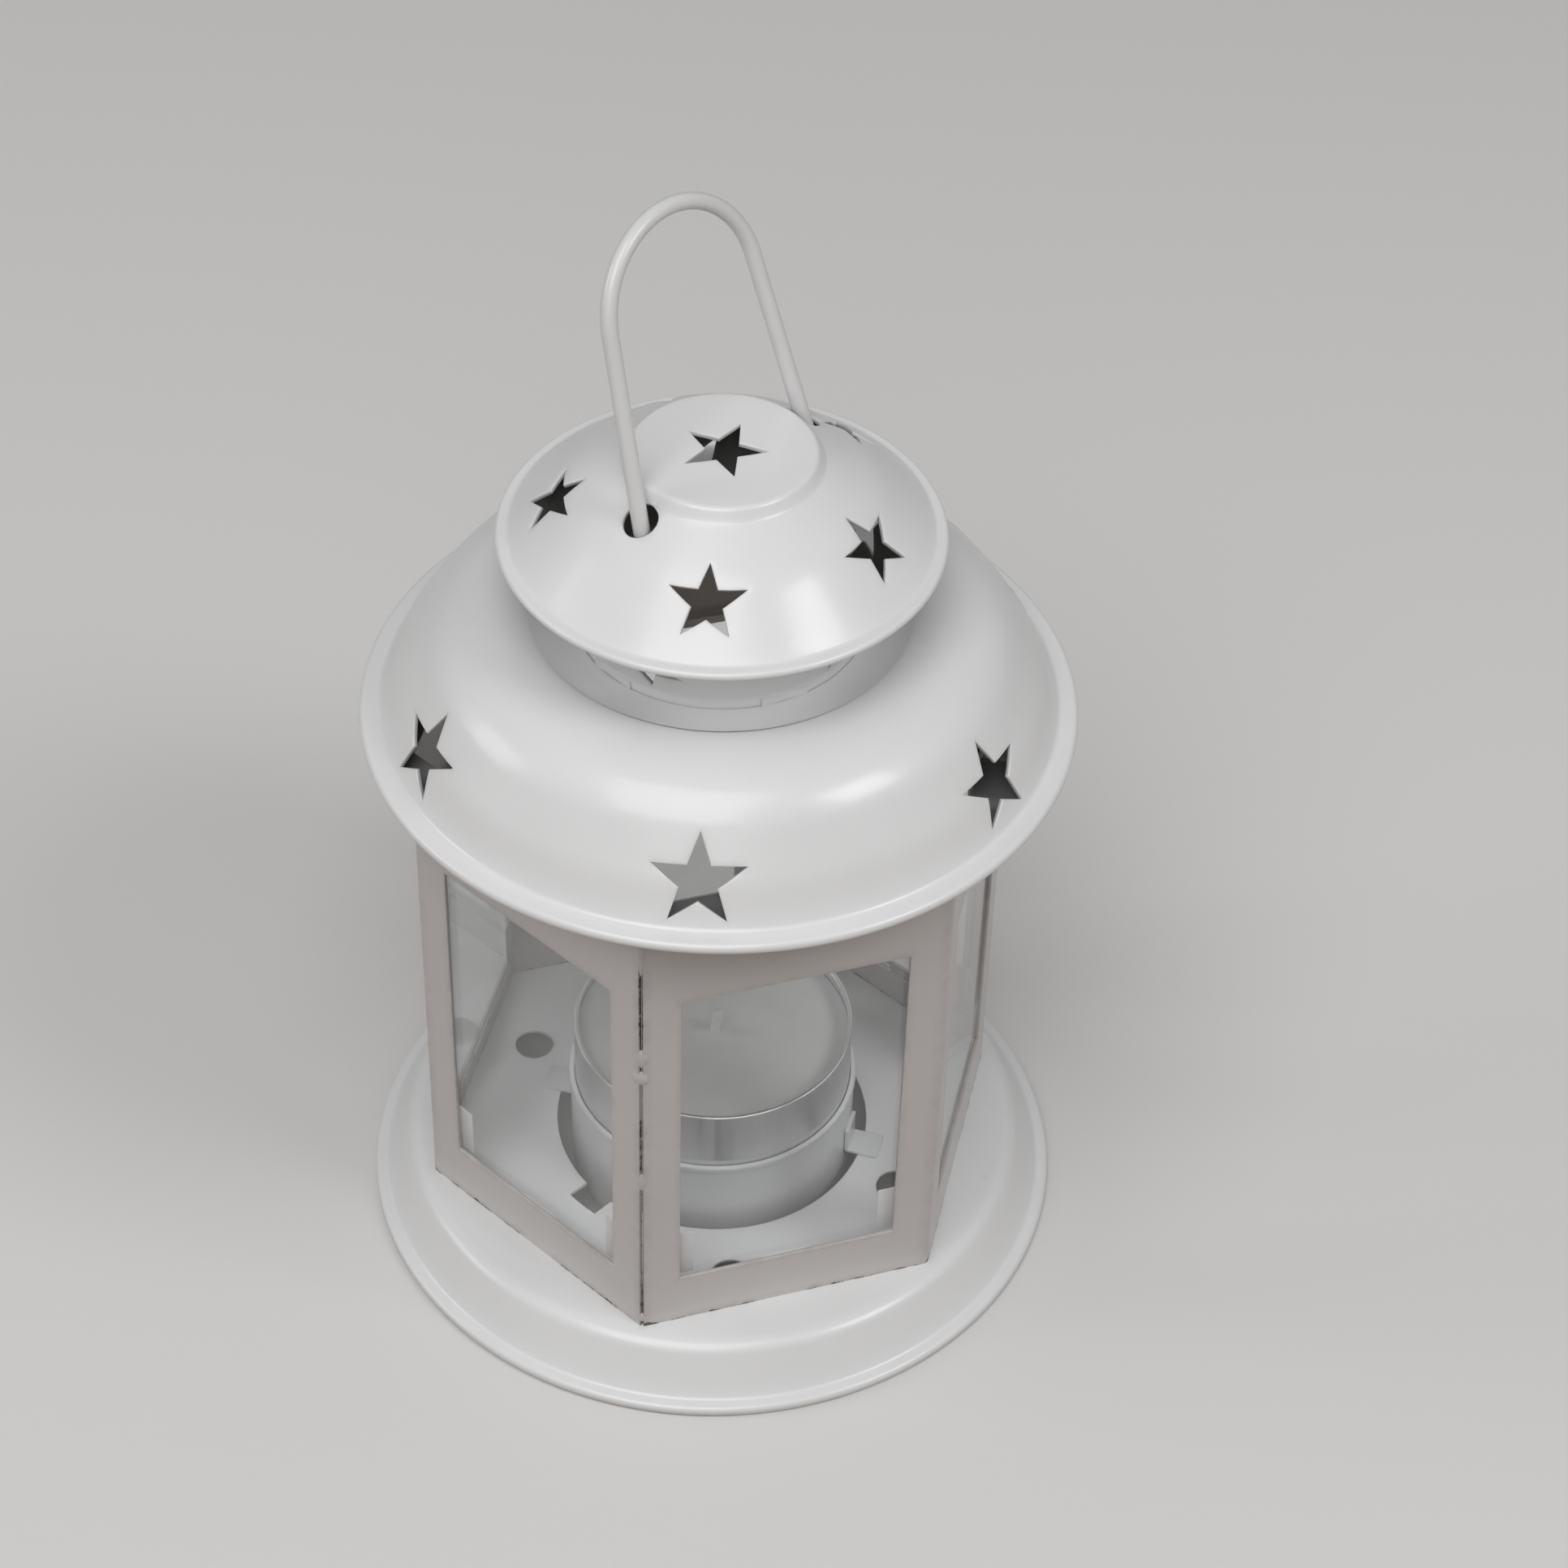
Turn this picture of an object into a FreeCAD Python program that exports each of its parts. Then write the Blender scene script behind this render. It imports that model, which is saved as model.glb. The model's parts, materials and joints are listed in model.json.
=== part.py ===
import FreeCAD, Part
import math
import os

# Punched sheet-metal tealight lantern: a pressed base, a hexagonal glazed body folded from one
# strip, a bell roof on a ceiling plate, a vent collar, a small domed cap and a wire bail. A candle
# cup locks into the base with two lugs. Millimetres and degrees. +Z is up, and the origin is at
# the centre of the rim that the lantern stands on. Angles are measured about Z from +X.

# Base
base_height = 8.1
base_sheet = 0.5
base_ledge = 1.8             # flat ledge outside the body's corners
base_shoulder_round = 2.4
base_flare = 3.8             # run of the sloping skirt
base_lip_width = 1.6
base_lip_height = 1.6
base_lip_round = 0.7
base_hem = 1.3               # how far the rim is turned in under itself
air_hole_radius = 2.6
air_hole_rings = ((166.0, 27.4), (-14.0, 27.4), (-72.0, 28.4), (108.0, 28.4))

# Hexagonal body, with corners at 30, 90, 150 degrees and so on
body_corner_radius = 38.8
body_height = 74.2
body_sheet = 0.5
body_bend = 0.9              # outside radius of the folded corners
post_width = 5.1             # from a corner to the window beside it
lower_rail = 7.9
upper_rail = 16.1
seam_angle = -90.0
seam_gap = 0.7
seam_weld_length = 2.2
seam_weld_shares = (0.34, 0.63)
face_count = 6
fold_tab_width = 6.0
fold_tab_reach = 4.0
fold_tab_play = 0.1

# Glass and its clips
pane_thickness = 1.2
pane_side_overlap = 1.4
pane_top_overlap = 1.9
pane_bottom_overlap = 1.5
clip_sheet = 0.4
clip_foot = 2.4
clip_play = 0.2
side_clip_lip = 3.4
side_clip_length = 7.5
rail_clip_lip = 1.0
rail_clip_length = 6.0

# Ceiling plate and roof
plate_sheet = 0.5
plate_play = 0.1
roof_overhang = 5.1          # past the body's corners
roof_sheet = 0.5
roof_lip_width = 2.5
roof_lip_round = 0.7
roof_lip_knee = 0.8
roof_hem = 1.6
roof_rise = 12.9             # from the lip up to the collar's seat
roof_skirt_inset = 2.1       # from the lip's inner edge in to the top of the steep skirt
roof_skirt_rise = 5.0
roof_skirt_round = 15.0
roof_shoulder_place_share = 0.46    # way from the collar's seat out to the lip
roof_shoulder_lift = 5.55    # the shoulder's corner above the collar's seat
roof_shoulder_round_share = 0.92    # part of the inner slope that the rounding takes
roof_seat_width = 3.05
roof_valley_round = 2.5
roof_star_count = 6
roof_star_phase = -80.0
roof_star_radius = 5.85
roof_star_rise = 5.4         # star centres above the lip

# Vent collar
collar_radius = 17.5         # at the roof
collar_flare = 5.9           # how much wider the collar is at the cap
collar_foot_rise = 1.4       # upright part above the roof
collar_bend_round = 2.0
collar_sheet = 0.5
collar_play = 0.05
collar_reveal = 11.9         # collar left showing between the roof and the cap's rim
collar_seam_gap = 0.3
collar_seam_angle = 150.0
collar_tab_width = 6.0
collar_tab_reach = 2.3
collar_tab_count = 5
collar_tab_phase = 21.0
collar_star_angles = (-103.5, -31.0, 41.0, 113.0, 185.0)
collar_star_radius = 5.0
collar_star_rise = 6.4       # star centres above the roof

# Cap
cap_overhang = 9.2           # past the collar
cap_sheet = 0.5
cap_lip_width = 1.4
cap_lip_height = 1.1
cap_lip_round = 0.5
cap_lip_knee = 0.8
cap_hem = 1.1
cap_rise = 11.5              # from the lip up to the flat top
cap_disc_inset = 6.5         # the raised disc's edge inside the collar
cap_disc_step = 1.5
cap_disc_step_run = 0.9
cap_disc_round = 0.7
cap_knee_inset = 7.0         # from the lip's inner edge in to the dome's knee
cap_knee_rise = 6.1
cap_knee_round = 20.0
cap_star_radius = 4.7
cap_star_angles = (-81.5, -14.0, 56.0, 126.0, 196.0)
cap_star_inset = 6.9         # star centres inside the cap's rim
cap_top_star_radius = 5.3
cap_top_star_phase = 9.4

# Wire bail
wire_radius = 1.0
bail_angle = 60.0            # direction of the line through its two holes
bail_lean = -17.4            # the bail stands this far off upright
bail_foot_inset = 3.8        # the bail's holes inside the collar
bail_hole_radius = 1.8
bail_height = 32.7           # from the holes to the wire's centre at the top
bail_arch_radius = 11.6
hook_drop = 3.2
hook_length = 4.6
hook_bend = 1.7

# Candle cup, locked in the base by two lugs
cup_radius = 18.7
cup_sheet = 0.4
cup_rise = 9.9               # rim above the base's flat
cup_floor_lift = 1.0         # underside above the table
cup_corner_round = 1.6
cup_bead_radius = 0.35
cup_hole_gap = 1.9
lug_angle = -2.0
lug_count = 2
lug_width = 4.0
lug_reach = 2.6              # past the hole's edge
lug_sheet = 0.5
lug_foot = 4.0
lug_play = 0.1
lug_turn = 60.0              # turn from locked to the notches
notch_play = 0.4

# Tealight
case_play = 0.2
case_sheet = 0.2
case_height = 25.2
case_corner_round = 1.2
case_bead_radius = 0.25
candle_lift = 0.05
wax_play = 0.05
wax_drop = 2.3               # wax level below the case's rim
wick_radius = 0.7
wick_rise = 4.0              # wick above the wax
sustainer_radius = 6.0
sustainer_sheet = 0.2
sustainer_neck_sheet = 0.4
sustainer_neck_height = 4.0

# Shared making values
star_point_count = 5
star_waist_share = 0.4       # a star's inner corners against its points
overrun = 2.0                # how far a cutter runs past what it cuts

# Worked-out places
full_turn = 360.0
half_turn = 180.0
base_under = base_height - base_sheet
base_flat_radius = body_corner_radius + base_ledge
base_lip_inner = base_flat_radius + base_flare
base_radius = base_lip_inner + base_lip_width
face_distance = body_corner_radius * math.cos(math.radians(half_turn / face_count))
face_inside = face_distance - body_sheet
window_width = body_corner_radius - 2 * post_width
window_bottom = base_height + lower_rail
window_top = base_height + body_height - upper_rail
pane_bottom = window_bottom - pane_bottom_overlap
pane_top = window_top + pane_top_overlap
body_top = base_height + body_height
plate_top = body_top + plate_sheet
roof_lip_top = plate_top + roof_sheet
roof_seat = roof_lip_top + roof_rise
roof_radius = body_corner_radius + roof_overhang
roof_lip_inner = roof_radius - roof_lip_width
cap_lip_bottom = roof_seat + collar_reveal
cap_lip_top = cap_lip_bottom + cap_lip_height
cap_top = cap_lip_top + cap_rise
cap_radius = collar_radius + cap_overhang
cap_lip_inner = cap_radius - cap_lip_width
cap_disc_radius = collar_radius - cap_disc_inset
cap_step_foot = cap_disc_radius + cap_disc_step_run
cap_knee_radius = cap_lip_inner - cap_knee_inset
cap_star_run = cap_radius - cap_star_inset
collar_top_radius = collar_radius + collar_flare
bail_foot_radius = collar_radius - bail_foot_inset
cup_hole_radius = cup_radius + cup_hole_gap
cup_top = base_height + cup_rise
case_radius = cup_radius - cup_sheet - case_play
case_bottom = cup_floor_lift + cup_sheet + candle_lift
case_top = case_bottom + case_height
wax_bottom = case_bottom + case_sheet + candle_lift
wax_top = case_top - wax_drop


def vec(x, y, z):
    return FreeCAD.Vector(x, y, z)


def around(shape, angle):
    """A copy of the shape turned about Z."""
    turned = shape.copy()
    turned.rotate(vec(0, 0, 0), vec(0, 0, 1), angle)
    return turned


def moved(shape, x, y, z):
    """A copy of the shape shifted."""
    shifted = shape.copy()
    shifted.translate(vec(x, y, z))
    return shifted


def block(low, high):
    """An upright box between two corners."""
    size = [b - a for a, b in zip(low, high)]
    return Part.makeBox(size[0], size[1], size[2], vec(*low))


def disc(radius, bottom, top):
    """A cylinder on the lantern's axis."""
    return Part.makeCylinder(radius, top - bottom, vec(0, 0, bottom))


def union(shapes):
    joined = shapes[0]
    if len(shapes) > 1:
        joined = joined.multiFuse(shapes[1:]).removeSplitter()
    return joined


def unit(dx, dz):
    length = math.hypot(dx, dz)
    return dx / length, dz / length


def rounded_path(points, rounds):
    """Edges along an open run of (radius, height) points, with an arc at each inner point."""
    edges = []
    here = points[0]
    for index in range(1, len(points) - 1):
        before, corner, after = points[index - 1], points[index], points[index + 1]
        ux, uz = unit(corner[0] - before[0], corner[1] - before[1])
        wx, wz = unit(after[0] - corner[0], after[1] - corner[1])
        turn = math.acos(max(-1, min(1, ux * wx + uz * wz)))
        if rounds[index] <= 0 or turn == 0:
            edges.append(Part.LineSegment(vec(here[0], 0, here[1]), vec(corner[0], 0, corner[1])).toShape())
            here = corner
            continue
        run = rounds[index] * math.tan(turn / 2)
        start = (corner[0] - ux * run, corner[1] - uz * run)
        stop = (corner[0] + wx * run, corner[1] + wz * run)
        bx, bz = unit(wx - ux, wz - uz)
        middle_run = rounds[index] * (1 / math.cos(turn / 2) - 1)
        middle = (corner[0] + bx * middle_run, corner[1] + bz * middle_run)
        edges.append(Part.LineSegment(vec(here[0], 0, here[1]), vec(start[0], 0, start[1])).toShape())
        arc = Part.Arc(vec(start[0], 0, start[1]), vec(middle[0], 0, middle[1]), vec(stop[0], 0, stop[1]))
        edges.append(arc.toShape())
        here = stop
    last = points[-1]
    edges.append(Part.LineSegment(vec(here[0], 0, here[1]), vec(last[0], 0, last[1])).toShape())
    return edges


def fitting_round(before, corner, after, share):
    """Radius of the arc at this corner whose tangent points take this share of the leg before it."""
    ux, uz = unit(corner[0] - before[0], corner[1] - before[1])
    wx, wz = unit(after[0] - corner[0], after[1] - corner[1])
    turn = math.acos(ux * wx + uz * wz)
    leg = math.hypot(corner[0] - before[0], corner[1] - before[1])
    return share * leg / math.tan(turn / 2)


def inner_path(points, rounds, sheet):
    """The points and rounds of the sheet's other face, to the right of the run of points."""
    count = len(points)
    ways = [unit(points[i + 1][0] - points[i][0], points[i + 1][1] - points[i][1]) for i in range(count - 1)]
    out_points = [(points[0][0] + ways[0][1] * sheet, points[0][1] - ways[0][0] * sheet)]
    out_rounds = [0]
    for index in range(1, count - 1):
        (ux, uz), (wx, wz) = ways[index - 1], ways[index]
        cross = ux * wz - uz * wx
        share = sheet / (1 + ux * wx + uz * wz)
        out_points.append((points[index][0] + (uz + wz) * share, points[index][1] - (ux + wx) * share))
        grown = rounds[index] + sheet if cross > 0 else rounds[index] - sheet
        out_rounds.append(max(0, grown) if rounds[index] > 0 else 0)
    out_points.append((points[-1][0] + ways[-1][1] * sheet, points[-1][1] - ways[-1][0] * sheet))
    out_rounds.append(0)
    return out_points, out_rounds


def spun_sheet(points, rounds, sheet):
    """A pressed round part: a sheet of even thickness behind the outside run of points."""
    back_points, back_rounds = inner_path(points, rounds, sheet)
    front = rounded_path(points, rounds)
    back = rounded_path(back_points, back_rounds)
    ends = []
    for a, b in ((points[0], back_points[0]), (points[-1], back_points[-1])):
        ends.append(Part.LineSegment(vec(a[0], 0, a[1]), vec(b[0], 0, b[1])).toShape())
    wire = Part.Wire(Part.__sortEdges__(front + back + ends))
    return Part.Face(wire).revolve(vec(0, 0, 0), vec(0, 0, 1), full_turn)


def star_cutter(point_radius, depth):
    """A five-pointed star prism along Z, centred on the origin, one point towards +Y."""
    corners = []
    for step in range(2 * star_point_count):
        reach = point_radius if step % 2 == 0 else point_radius * star_waist_share
        angle = math.radians(half_turn * step / star_point_count)
        corners.append(vec(-reach * math.sin(angle), reach * math.cos(angle), -depth / 2))
    corners.append(corners[0])
    return Part.Face(Part.makePolygon(corners)).extrude(vec(0, 0, depth))


def star_on_slope(point_radius, run, height, slope, angle, depth, spin=0.0):
    """A star cutter square to a sloping wall. Without spin it has one point up the slope."""
    cutter = star_cutter(point_radius, depth)
    cutter.rotate(vec(0, 0, 0), vec(0, 0, 1), spin)
    cutter.rotate(vec(0, 0, 0), vec(1, 0, 0), slope)
    cutter.translate(vec(0, -run, height))
    return around(cutter, angle + half_turn / 2)


def face_angles():
    """The middle direction of each of the body's faces, starting right of the seam."""
    return [seam_angle + (index + 1 / 2) * full_turn / face_count for index in range(face_count)]


def make_base():
    """Pressed dish, upside down, with a rolled rim, a cup hole, air holes and slots for the tabs."""
    points = [
        (cup_hole_radius, base_height),
        (base_flat_radius, base_height),
        (base_lip_inner, base_lip_height),
        (base_radius, base_lip_height),
        (base_radius, 0),
        (base_radius - base_hem, 0),
    ]
    rounds = [0, base_shoulder_round, base_lip_round, base_lip_round, base_lip_round, 0]
    dish = spun_sheet(points, rounds, base_sheet)
    cutters = []
    for angle, ring in air_hole_rings:
        hole = moved(disc(air_hole_radius, base_under - overrun, base_height + overrun), ring, 0, 0)
        cutters.append(around(hole, angle))
    slot = block(
        (face_inside - fold_tab_play, -fold_tab_width / 2 - fold_tab_play, base_under - overrun),
        (face_distance + fold_tab_play, fold_tab_width / 2 + fold_tab_play, base_height + overrun),
    )
    for angle in face_angles():
        cutters.append(around(slot, angle))
    notch = block(
        (cup_radius, -lug_width / 2 - notch_play, base_under - overrun),
        (cup_hole_radius + lug_reach + notch_play, lug_width / 2 + notch_play, base_height + overrun),
    )
    for index in range(lug_count):
        cutters.append(around(notch, lug_angle + lug_turn + index * full_turn / lug_count))
    return dish.cut(cutters)


def make_body():
    """One strip folded into a hexagon, with a window in each face and tabs on both edges."""
    outer = Part.makePolygon([
        vec(
            body_corner_radius * math.cos(math.radians(seam_angle + index * full_turn / face_count)),
            body_corner_radius * math.sin(math.radians(seam_angle + index * full_turn / face_count)),
            base_height,
        )
        for index in range(face_count + 1)
    ])
    prism = Part.Face(outer).extrude(vec(0, 0, body_height))
    upright = [edge for edge in prism.Edges if abs(edge.tangentAt(edge.FirstParameter).z) > 1 / 2]
    prism = prism.makeFillet(body_bend, upright)
    core_share = face_inside / face_distance
    core = prism.copy()
    core.scale(core_share, vec(0, 0, 0))
    core.translate(vec(0, 0, base_height - core.BoundBox.ZMin))
    core = core.fuse(moved(core, 0, 0, body_height - core.BoundBox.ZLength)).removeSplitter()
    cutters = [core]
    window = block(
        (face_inside - overrun, -window_width / 2, window_bottom),
        (face_distance + overrun, window_width / 2, window_top),
    )
    for angle in face_angles():
        cutters.append(around(window, angle))
    weld_heights = [base_height + share * body_height for share in seam_weld_shares]
    stops = [base_height - overrun]
    for height in weld_heights:
        stops += [height - seam_weld_length / 2, height + seam_weld_length / 2]
    stops.append(body_top + overrun)
    for low, high in zip(stops[0::2], stops[1::2]):
        gap = block((face_inside, -seam_gap / 2, low), (body_corner_radius + overrun, seam_gap / 2, high))
        cutters.append(around(gap, seam_angle))
    shell = prism.cut(cutters)
    lower_tab = union([
        block((face_inside, -fold_tab_width / 2, base_under - body_sheet),
              (face_distance, fold_tab_width / 2, base_height)),
        block((face_inside, -fold_tab_width / 2, base_under - body_sheet),
              (face_distance + fold_tab_reach, fold_tab_width / 2, base_under)),
    ])
    upper_tab = union([
        block((face_inside, -fold_tab_width / 2, body_top),
              (face_distance, fold_tab_width / 2, plate_top + body_sheet)),
        block((face_inside, -fold_tab_width / 2, plate_top),
              (face_distance + fold_tab_reach, fold_tab_width / 2, plate_top + body_sheet)),
    ])
    pieces = [shell]
    for angle in face_angles():
        pieces += [around(lower_tab, angle), around(upper_tab, angle)]
    return union(pieces)


def make_pane(angle):
    """A flat pane behind its window, lapping the posts and the rails."""
    half_width = window_width / 2 + pane_side_overlap
    pane = block(
        (face_inside - pane_thickness, -half_width, pane_bottom),
        (face_inside, half_width, pane_top),
    )
    return around(pane, angle)


def clip_profile(lip):
    """The clip's bent outline, in (distance past the pane's edge, depth behind the wall)."""
    lip_depth = pane_thickness + clip_sheet
    step = clip_play + clip_sheet
    return [
        (step + clip_foot, 0),
        (step + clip_foot, clip_sheet),
        (step, clip_sheet),
        (step, lip_depth),
        (-lip, lip_depth),
        (-lip, pane_thickness),
        (clip_play, pane_thickness),
        (clip_play, 0),
    ]


def make_side_clips():
    """Bent tabs welded inside the posts, two to a pane, that hold its lower corners."""
    edge = window_width / 2 + pane_side_overlap
    clips = []
    for side in (-1, 1):
        corners = []
        for run, depth in clip_profile(side_clip_lip):
            corners.append(vec(face_inside - depth, side * (edge + run), window_bottom))
        outline = Part.Face(Part.makePolygon(corners + corners[:1]))
        clips.append(outline.extrude(vec(0, 0, side_clip_length)))
    return [around(clip, angle) for angle in face_angles() for clip in clips]


def make_rail_clips():
    """Bent tabs welded inside the rails: one under each pane and one over it."""
    clips = []
    for edge, way in ((pane_bottom, -1), (pane_top, 1)):
        corners = []
        for run, depth in clip_profile(rail_clip_lip):
            corners.append(vec(face_inside - depth, -rail_clip_length / 2, edge + way * run))
        outline = Part.Face(Part.makePolygon(corners + corners[:1]))
        clips.append(outline.extrude(vec(0, rail_clip_length, 0)))
    return [around(clip, angle) for angle in face_angles() for clip in clips]


def make_plate():
    """Flat ring that the body's upper tabs fold over and the roof's rim is rolled round.

    Its hexagonal hole is flush with the inside of the body's walls."""
    plate = disc(roof_radius - roof_sheet - plate_play, body_top, plate_top)
    corner = face_inside / math.cos(math.radians(half_turn / face_count))
    outline = Part.makePolygon([
        vec(
            corner * math.cos(math.radians(seam_angle + index * full_turn / face_count)),
            corner * math.sin(math.radians(seam_angle + index * full_turn / face_count)),
            body_top - overrun,
        )
        for index in range(face_count + 1)
    ])
    cutters = [Part.Face(outline).extrude(vec(0, 0, 2 * overrun + plate_sheet))]
    slot = block(
        (face_inside - fold_tab_play, -fold_tab_width / 2 - fold_tab_play, body_top - overrun),
        (face_distance + fold_tab_play, fold_tab_width / 2 + fold_tab_play, plate_top + overrun),
    )
    for angle in face_angles():
        cutters.append(around(slot, angle))
    return plate.cut(cutters)


def make_roof():
    """Pressed bell with a flat seat for the collar and a rim rolled round the ceiling plate."""
    hole_radius = collar_radius + collar_play
    seat_edge = (hole_radius + roof_seat_width, roof_seat)
    reach = (roof_lip_inner - seat_edge[0]) * roof_shoulder_place_share
    shoulder = (seat_edge[0] + reach, roof_seat + roof_shoulder_lift)
    skirt = (roof_lip_inner - roof_skirt_inset, roof_lip_top + roof_skirt_rise)
    shoulder_round = fitting_round(seat_edge, shoulder, skirt, roof_shoulder_round_share)
    points = [
        (hole_radius, roof_seat),
        seat_edge,
        shoulder,
        skirt,
        (roof_lip_inner, roof_lip_top),
        (roof_radius, roof_lip_top),
        (roof_radius, body_top - roof_sheet),
        (roof_radius - roof_hem, body_top - roof_sheet),
    ]
    rounds = [0, roof_valley_round, shoulder_round, roof_skirt_round,
              roof_lip_knee, roof_lip_round, roof_lip_round, 0]
    bell = spun_sheet(points, rounds, roof_sheet)
    fall = (shoulder[1] - skirt[1]) / (skirt[0] - shoulder[0])
    height = roof_lip_top + roof_star_rise
    run = skirt[0] - (height - skirt[1]) / fall
    slope = math.degrees(math.atan(fall))
    cutters = []
    for index in range(roof_star_count):
        angle = roof_star_phase + index * full_turn / roof_star_count
        cutters.append(star_on_slope(roof_star_radius, run, height, slope, angle, shoulder_round))
    return bell.cut(cutters)


def cap_under(radius):
    """Height of the cap's underside on its inner slope, or past the knee on its outer one."""
    knee_height = cap_lip_top + cap_knee_rise
    legs = [
        (cap_step_foot, cap_top - cap_disc_step, cap_knee_radius, knee_height),
        (cap_knee_radius, knee_height, cap_lip_inner, cap_lip_top),
    ]
    heights = []
    for near, high, far, low in legs:
        outside = high - (radius - near) * (high - low) / (far - near)
        heights.append(outside - cap_sheet / math.cos(math.atan2(high - low, far - near)))
    return min(heights)


def make_collar():
    """Rolled strip, flared towards the cap, with star vents and tabs at both ends."""
    inside = collar_radius - collar_sheet
    roof_under = roof_seat - roof_sheet
    bottom = roof_under - collar_sheet
    bend_height = roof_seat + collar_foot_rise
    top = cap_under(collar_top_radius) - collar_play
    run = [(collar_top_radius, top), (collar_radius, bend_height), (collar_radius, bottom)]
    wall = spun_sheet(run, [0, collar_bend_round, 0], collar_sheet)
    foot = disc(collar_radius + collar_tab_reach, bottom, roof_under)
    foot = foot.cut(disc(inside, bottom - overrun, roof_under + overrun))
    tip_radius = collar_top_radius - collar_tab_reach
    tip_top = cap_under(tip_radius) - collar_play
    corners = [
        vec(collar_top_radius, 0, top),
        vec(tip_radius, 0, tip_top),
        vec(tip_radius, 0, tip_top - collar_sheet),
        vec(collar_top_radius, 0, top - collar_sheet),
        vec(collar_top_radius, 0, top),
    ]
    head = Part.Face(Part.makePolygon(corners)).revolve(vec(0, 0, 0), vec(0, 0, 1), full_turn)
    wedge = block(
        (inside - overrun, -collar_tab_width / 2, bottom - overrun),
        (collar_top_radius + overrun, collar_tab_width / 2, tip_top + overrun),
    )
    wedges = []
    for index in range(collar_tab_count):
        wedges.append(around(wedge, collar_tab_phase + index * full_turn / collar_tab_count))
    tabs = [ring.common(sector) for ring in (foot, head) for sector in wedges]
    collar = union([wall] + tabs)
    flare_share = collar_flare / (top - bend_height)
    star_height = roof_seat + collar_star_rise
    star_run = collar_radius + (star_height - bend_height) * flare_share
    slope = half_turn / 2 + math.degrees(math.atan(flare_share))
    cutters = []
    for angle in collar_star_angles:
        star = star_on_slope(collar_star_radius, star_run, star_height, slope, angle,
                             2 * (collar_sheet + overrun), half_turn)
        cutters.append(star)
    gap = block((inside - overrun, -collar_seam_gap / 2, bottom - overrun),
                (collar_top_radius + overrun, collar_seam_gap / 2, tip_top + overrun))
    cutters.append(around(gap, collar_seam_angle))
    return collar.cut(cutters)


def bail_hole_height():
    """Height of the middle of the cap's sheet at the bail's holes."""
    under = cap_under(bail_foot_radius)
    return under + cap_sheet / 2


def make_cap():
    """Small pressed dome with a raised flat top, star vents and two holes for the bail."""
    knee_height = cap_lip_top + cap_knee_rise
    points = [
        (0, cap_top),
        (cap_disc_radius, cap_top),
        (cap_step_foot, cap_top - cap_disc_step),
        (cap_knee_radius, knee_height),
        (cap_lip_inner, cap_lip_top),
        (cap_radius, cap_lip_top),
        (cap_radius, cap_lip_bottom),
        (cap_radius - cap_hem, cap_lip_bottom),
    ]
    rounds = [0, cap_disc_round, cap_disc_round, cap_knee_round,
              cap_lip_knee, cap_lip_round, cap_lip_round, 0]
    dome = spun_sheet(points, rounds, cap_sheet)
    slope = math.degrees(math.atan2(cap_knee_rise, cap_knee_inset))
    star_height = cap_lip_top + (cap_lip_inner - cap_star_run) * cap_knee_rise / cap_knee_inset
    cutters = []
    for angle in cap_star_angles:
        cutters.append(star_on_slope(cap_star_radius, cap_star_run, star_height, slope, angle, 2 * overrun))
    top_star = moved(star_cutter(cap_top_star_radius, 2 * overrun), 0, 0, cap_top)
    cutters.append(around(top_star, cap_top_star_phase - half_turn / 2))
    hole_foot = vec(bail_foot_radius, 0, bail_hole_height() - overrun)
    hole = Part.makeCylinder(bail_hole_radius, 2 * overrun, hole_foot)
    for side in (0, half_turn):
        cutters.append(around(hole, bail_angle + side))
    return dome.cut(cutters)


def make_bail():
    """Round wire with a semicircular arch and two legs, hooked inwards below the cap."""
    centre = bail_height - bail_arch_radius
    reach = math.hypot(bail_foot_radius, centre)
    toward = math.atan2(centre, -bail_foot_radius)
    leg_way = toward - math.asin(bail_arch_radius / reach)
    leg_length = math.sqrt(reach ** 2 - bail_arch_radius ** 2)
    leg_top = (bail_foot_radius + leg_length * math.cos(leg_way), leg_length * math.sin(leg_way))
    corner = (bail_foot_radius - hook_drop * math.cos(leg_way) / math.sin(leg_way), -hook_drop)
    tip = (corner[0] - hook_length, -hook_drop)
    side = rounded_path([tip, corner, leg_top], [0, hook_bend, 0])
    other = [edge.mirror(vec(0, 0, 0), vec(1, 0, 0)) for edge in side]
    arch = Part.Arc(vec(leg_top[0], 0, leg_top[1]), vec(0, 0, bail_height), vec(-leg_top[0], 0, leg_top[1]))
    path = Part.Wire(Part.__sortEdges__(side + [arch.toShape()] + other))
    section = Part.Wire(Part.makeCircle(wire_radius, vec(tip[0], 0, tip[1]), vec(1, 0, 0)))
    bail = path.makePipeShell([section], True, False)
    bail.rotate(vec(0, 0, 0), vec(1, 0, 0), bail_lean)
    bail = around(bail, bail_angle)
    return moved(bail, 0, 0, bail_hole_height())


def make_cup():
    """Pressed cup with a beaded rim and two lugs that rest on the base beside its hole."""
    points = [(cup_radius, cup_top), (cup_radius, cup_floor_lift), (0, cup_floor_lift)]
    shell = spun_sheet(points, [0, cup_corner_round, 0], cup_sheet)
    bead = Part.makeTorus(cup_radius - cup_sheet / 2, cup_bead_radius, vec(0, 0, cup_top - cup_bead_radius))
    lug_bottom = base_height + lug_play
    lug = union([
        block((cup_radius - cup_sheet / 2, -lug_width / 2, lug_bottom),
              (cup_hole_radius + lug_reach, lug_width / 2, lug_bottom + lug_sheet)),
        block((cup_radius - cup_sheet / 2, -lug_width / 2, lug_bottom),
              (cup_radius + lug_sheet, lug_width / 2, lug_bottom + lug_foot)),
    ])
    lugs = [around(lug, lug_angle + index * full_turn / lug_count) for index in range(lug_count)]
    return union([shell, bead] + lugs)


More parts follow.
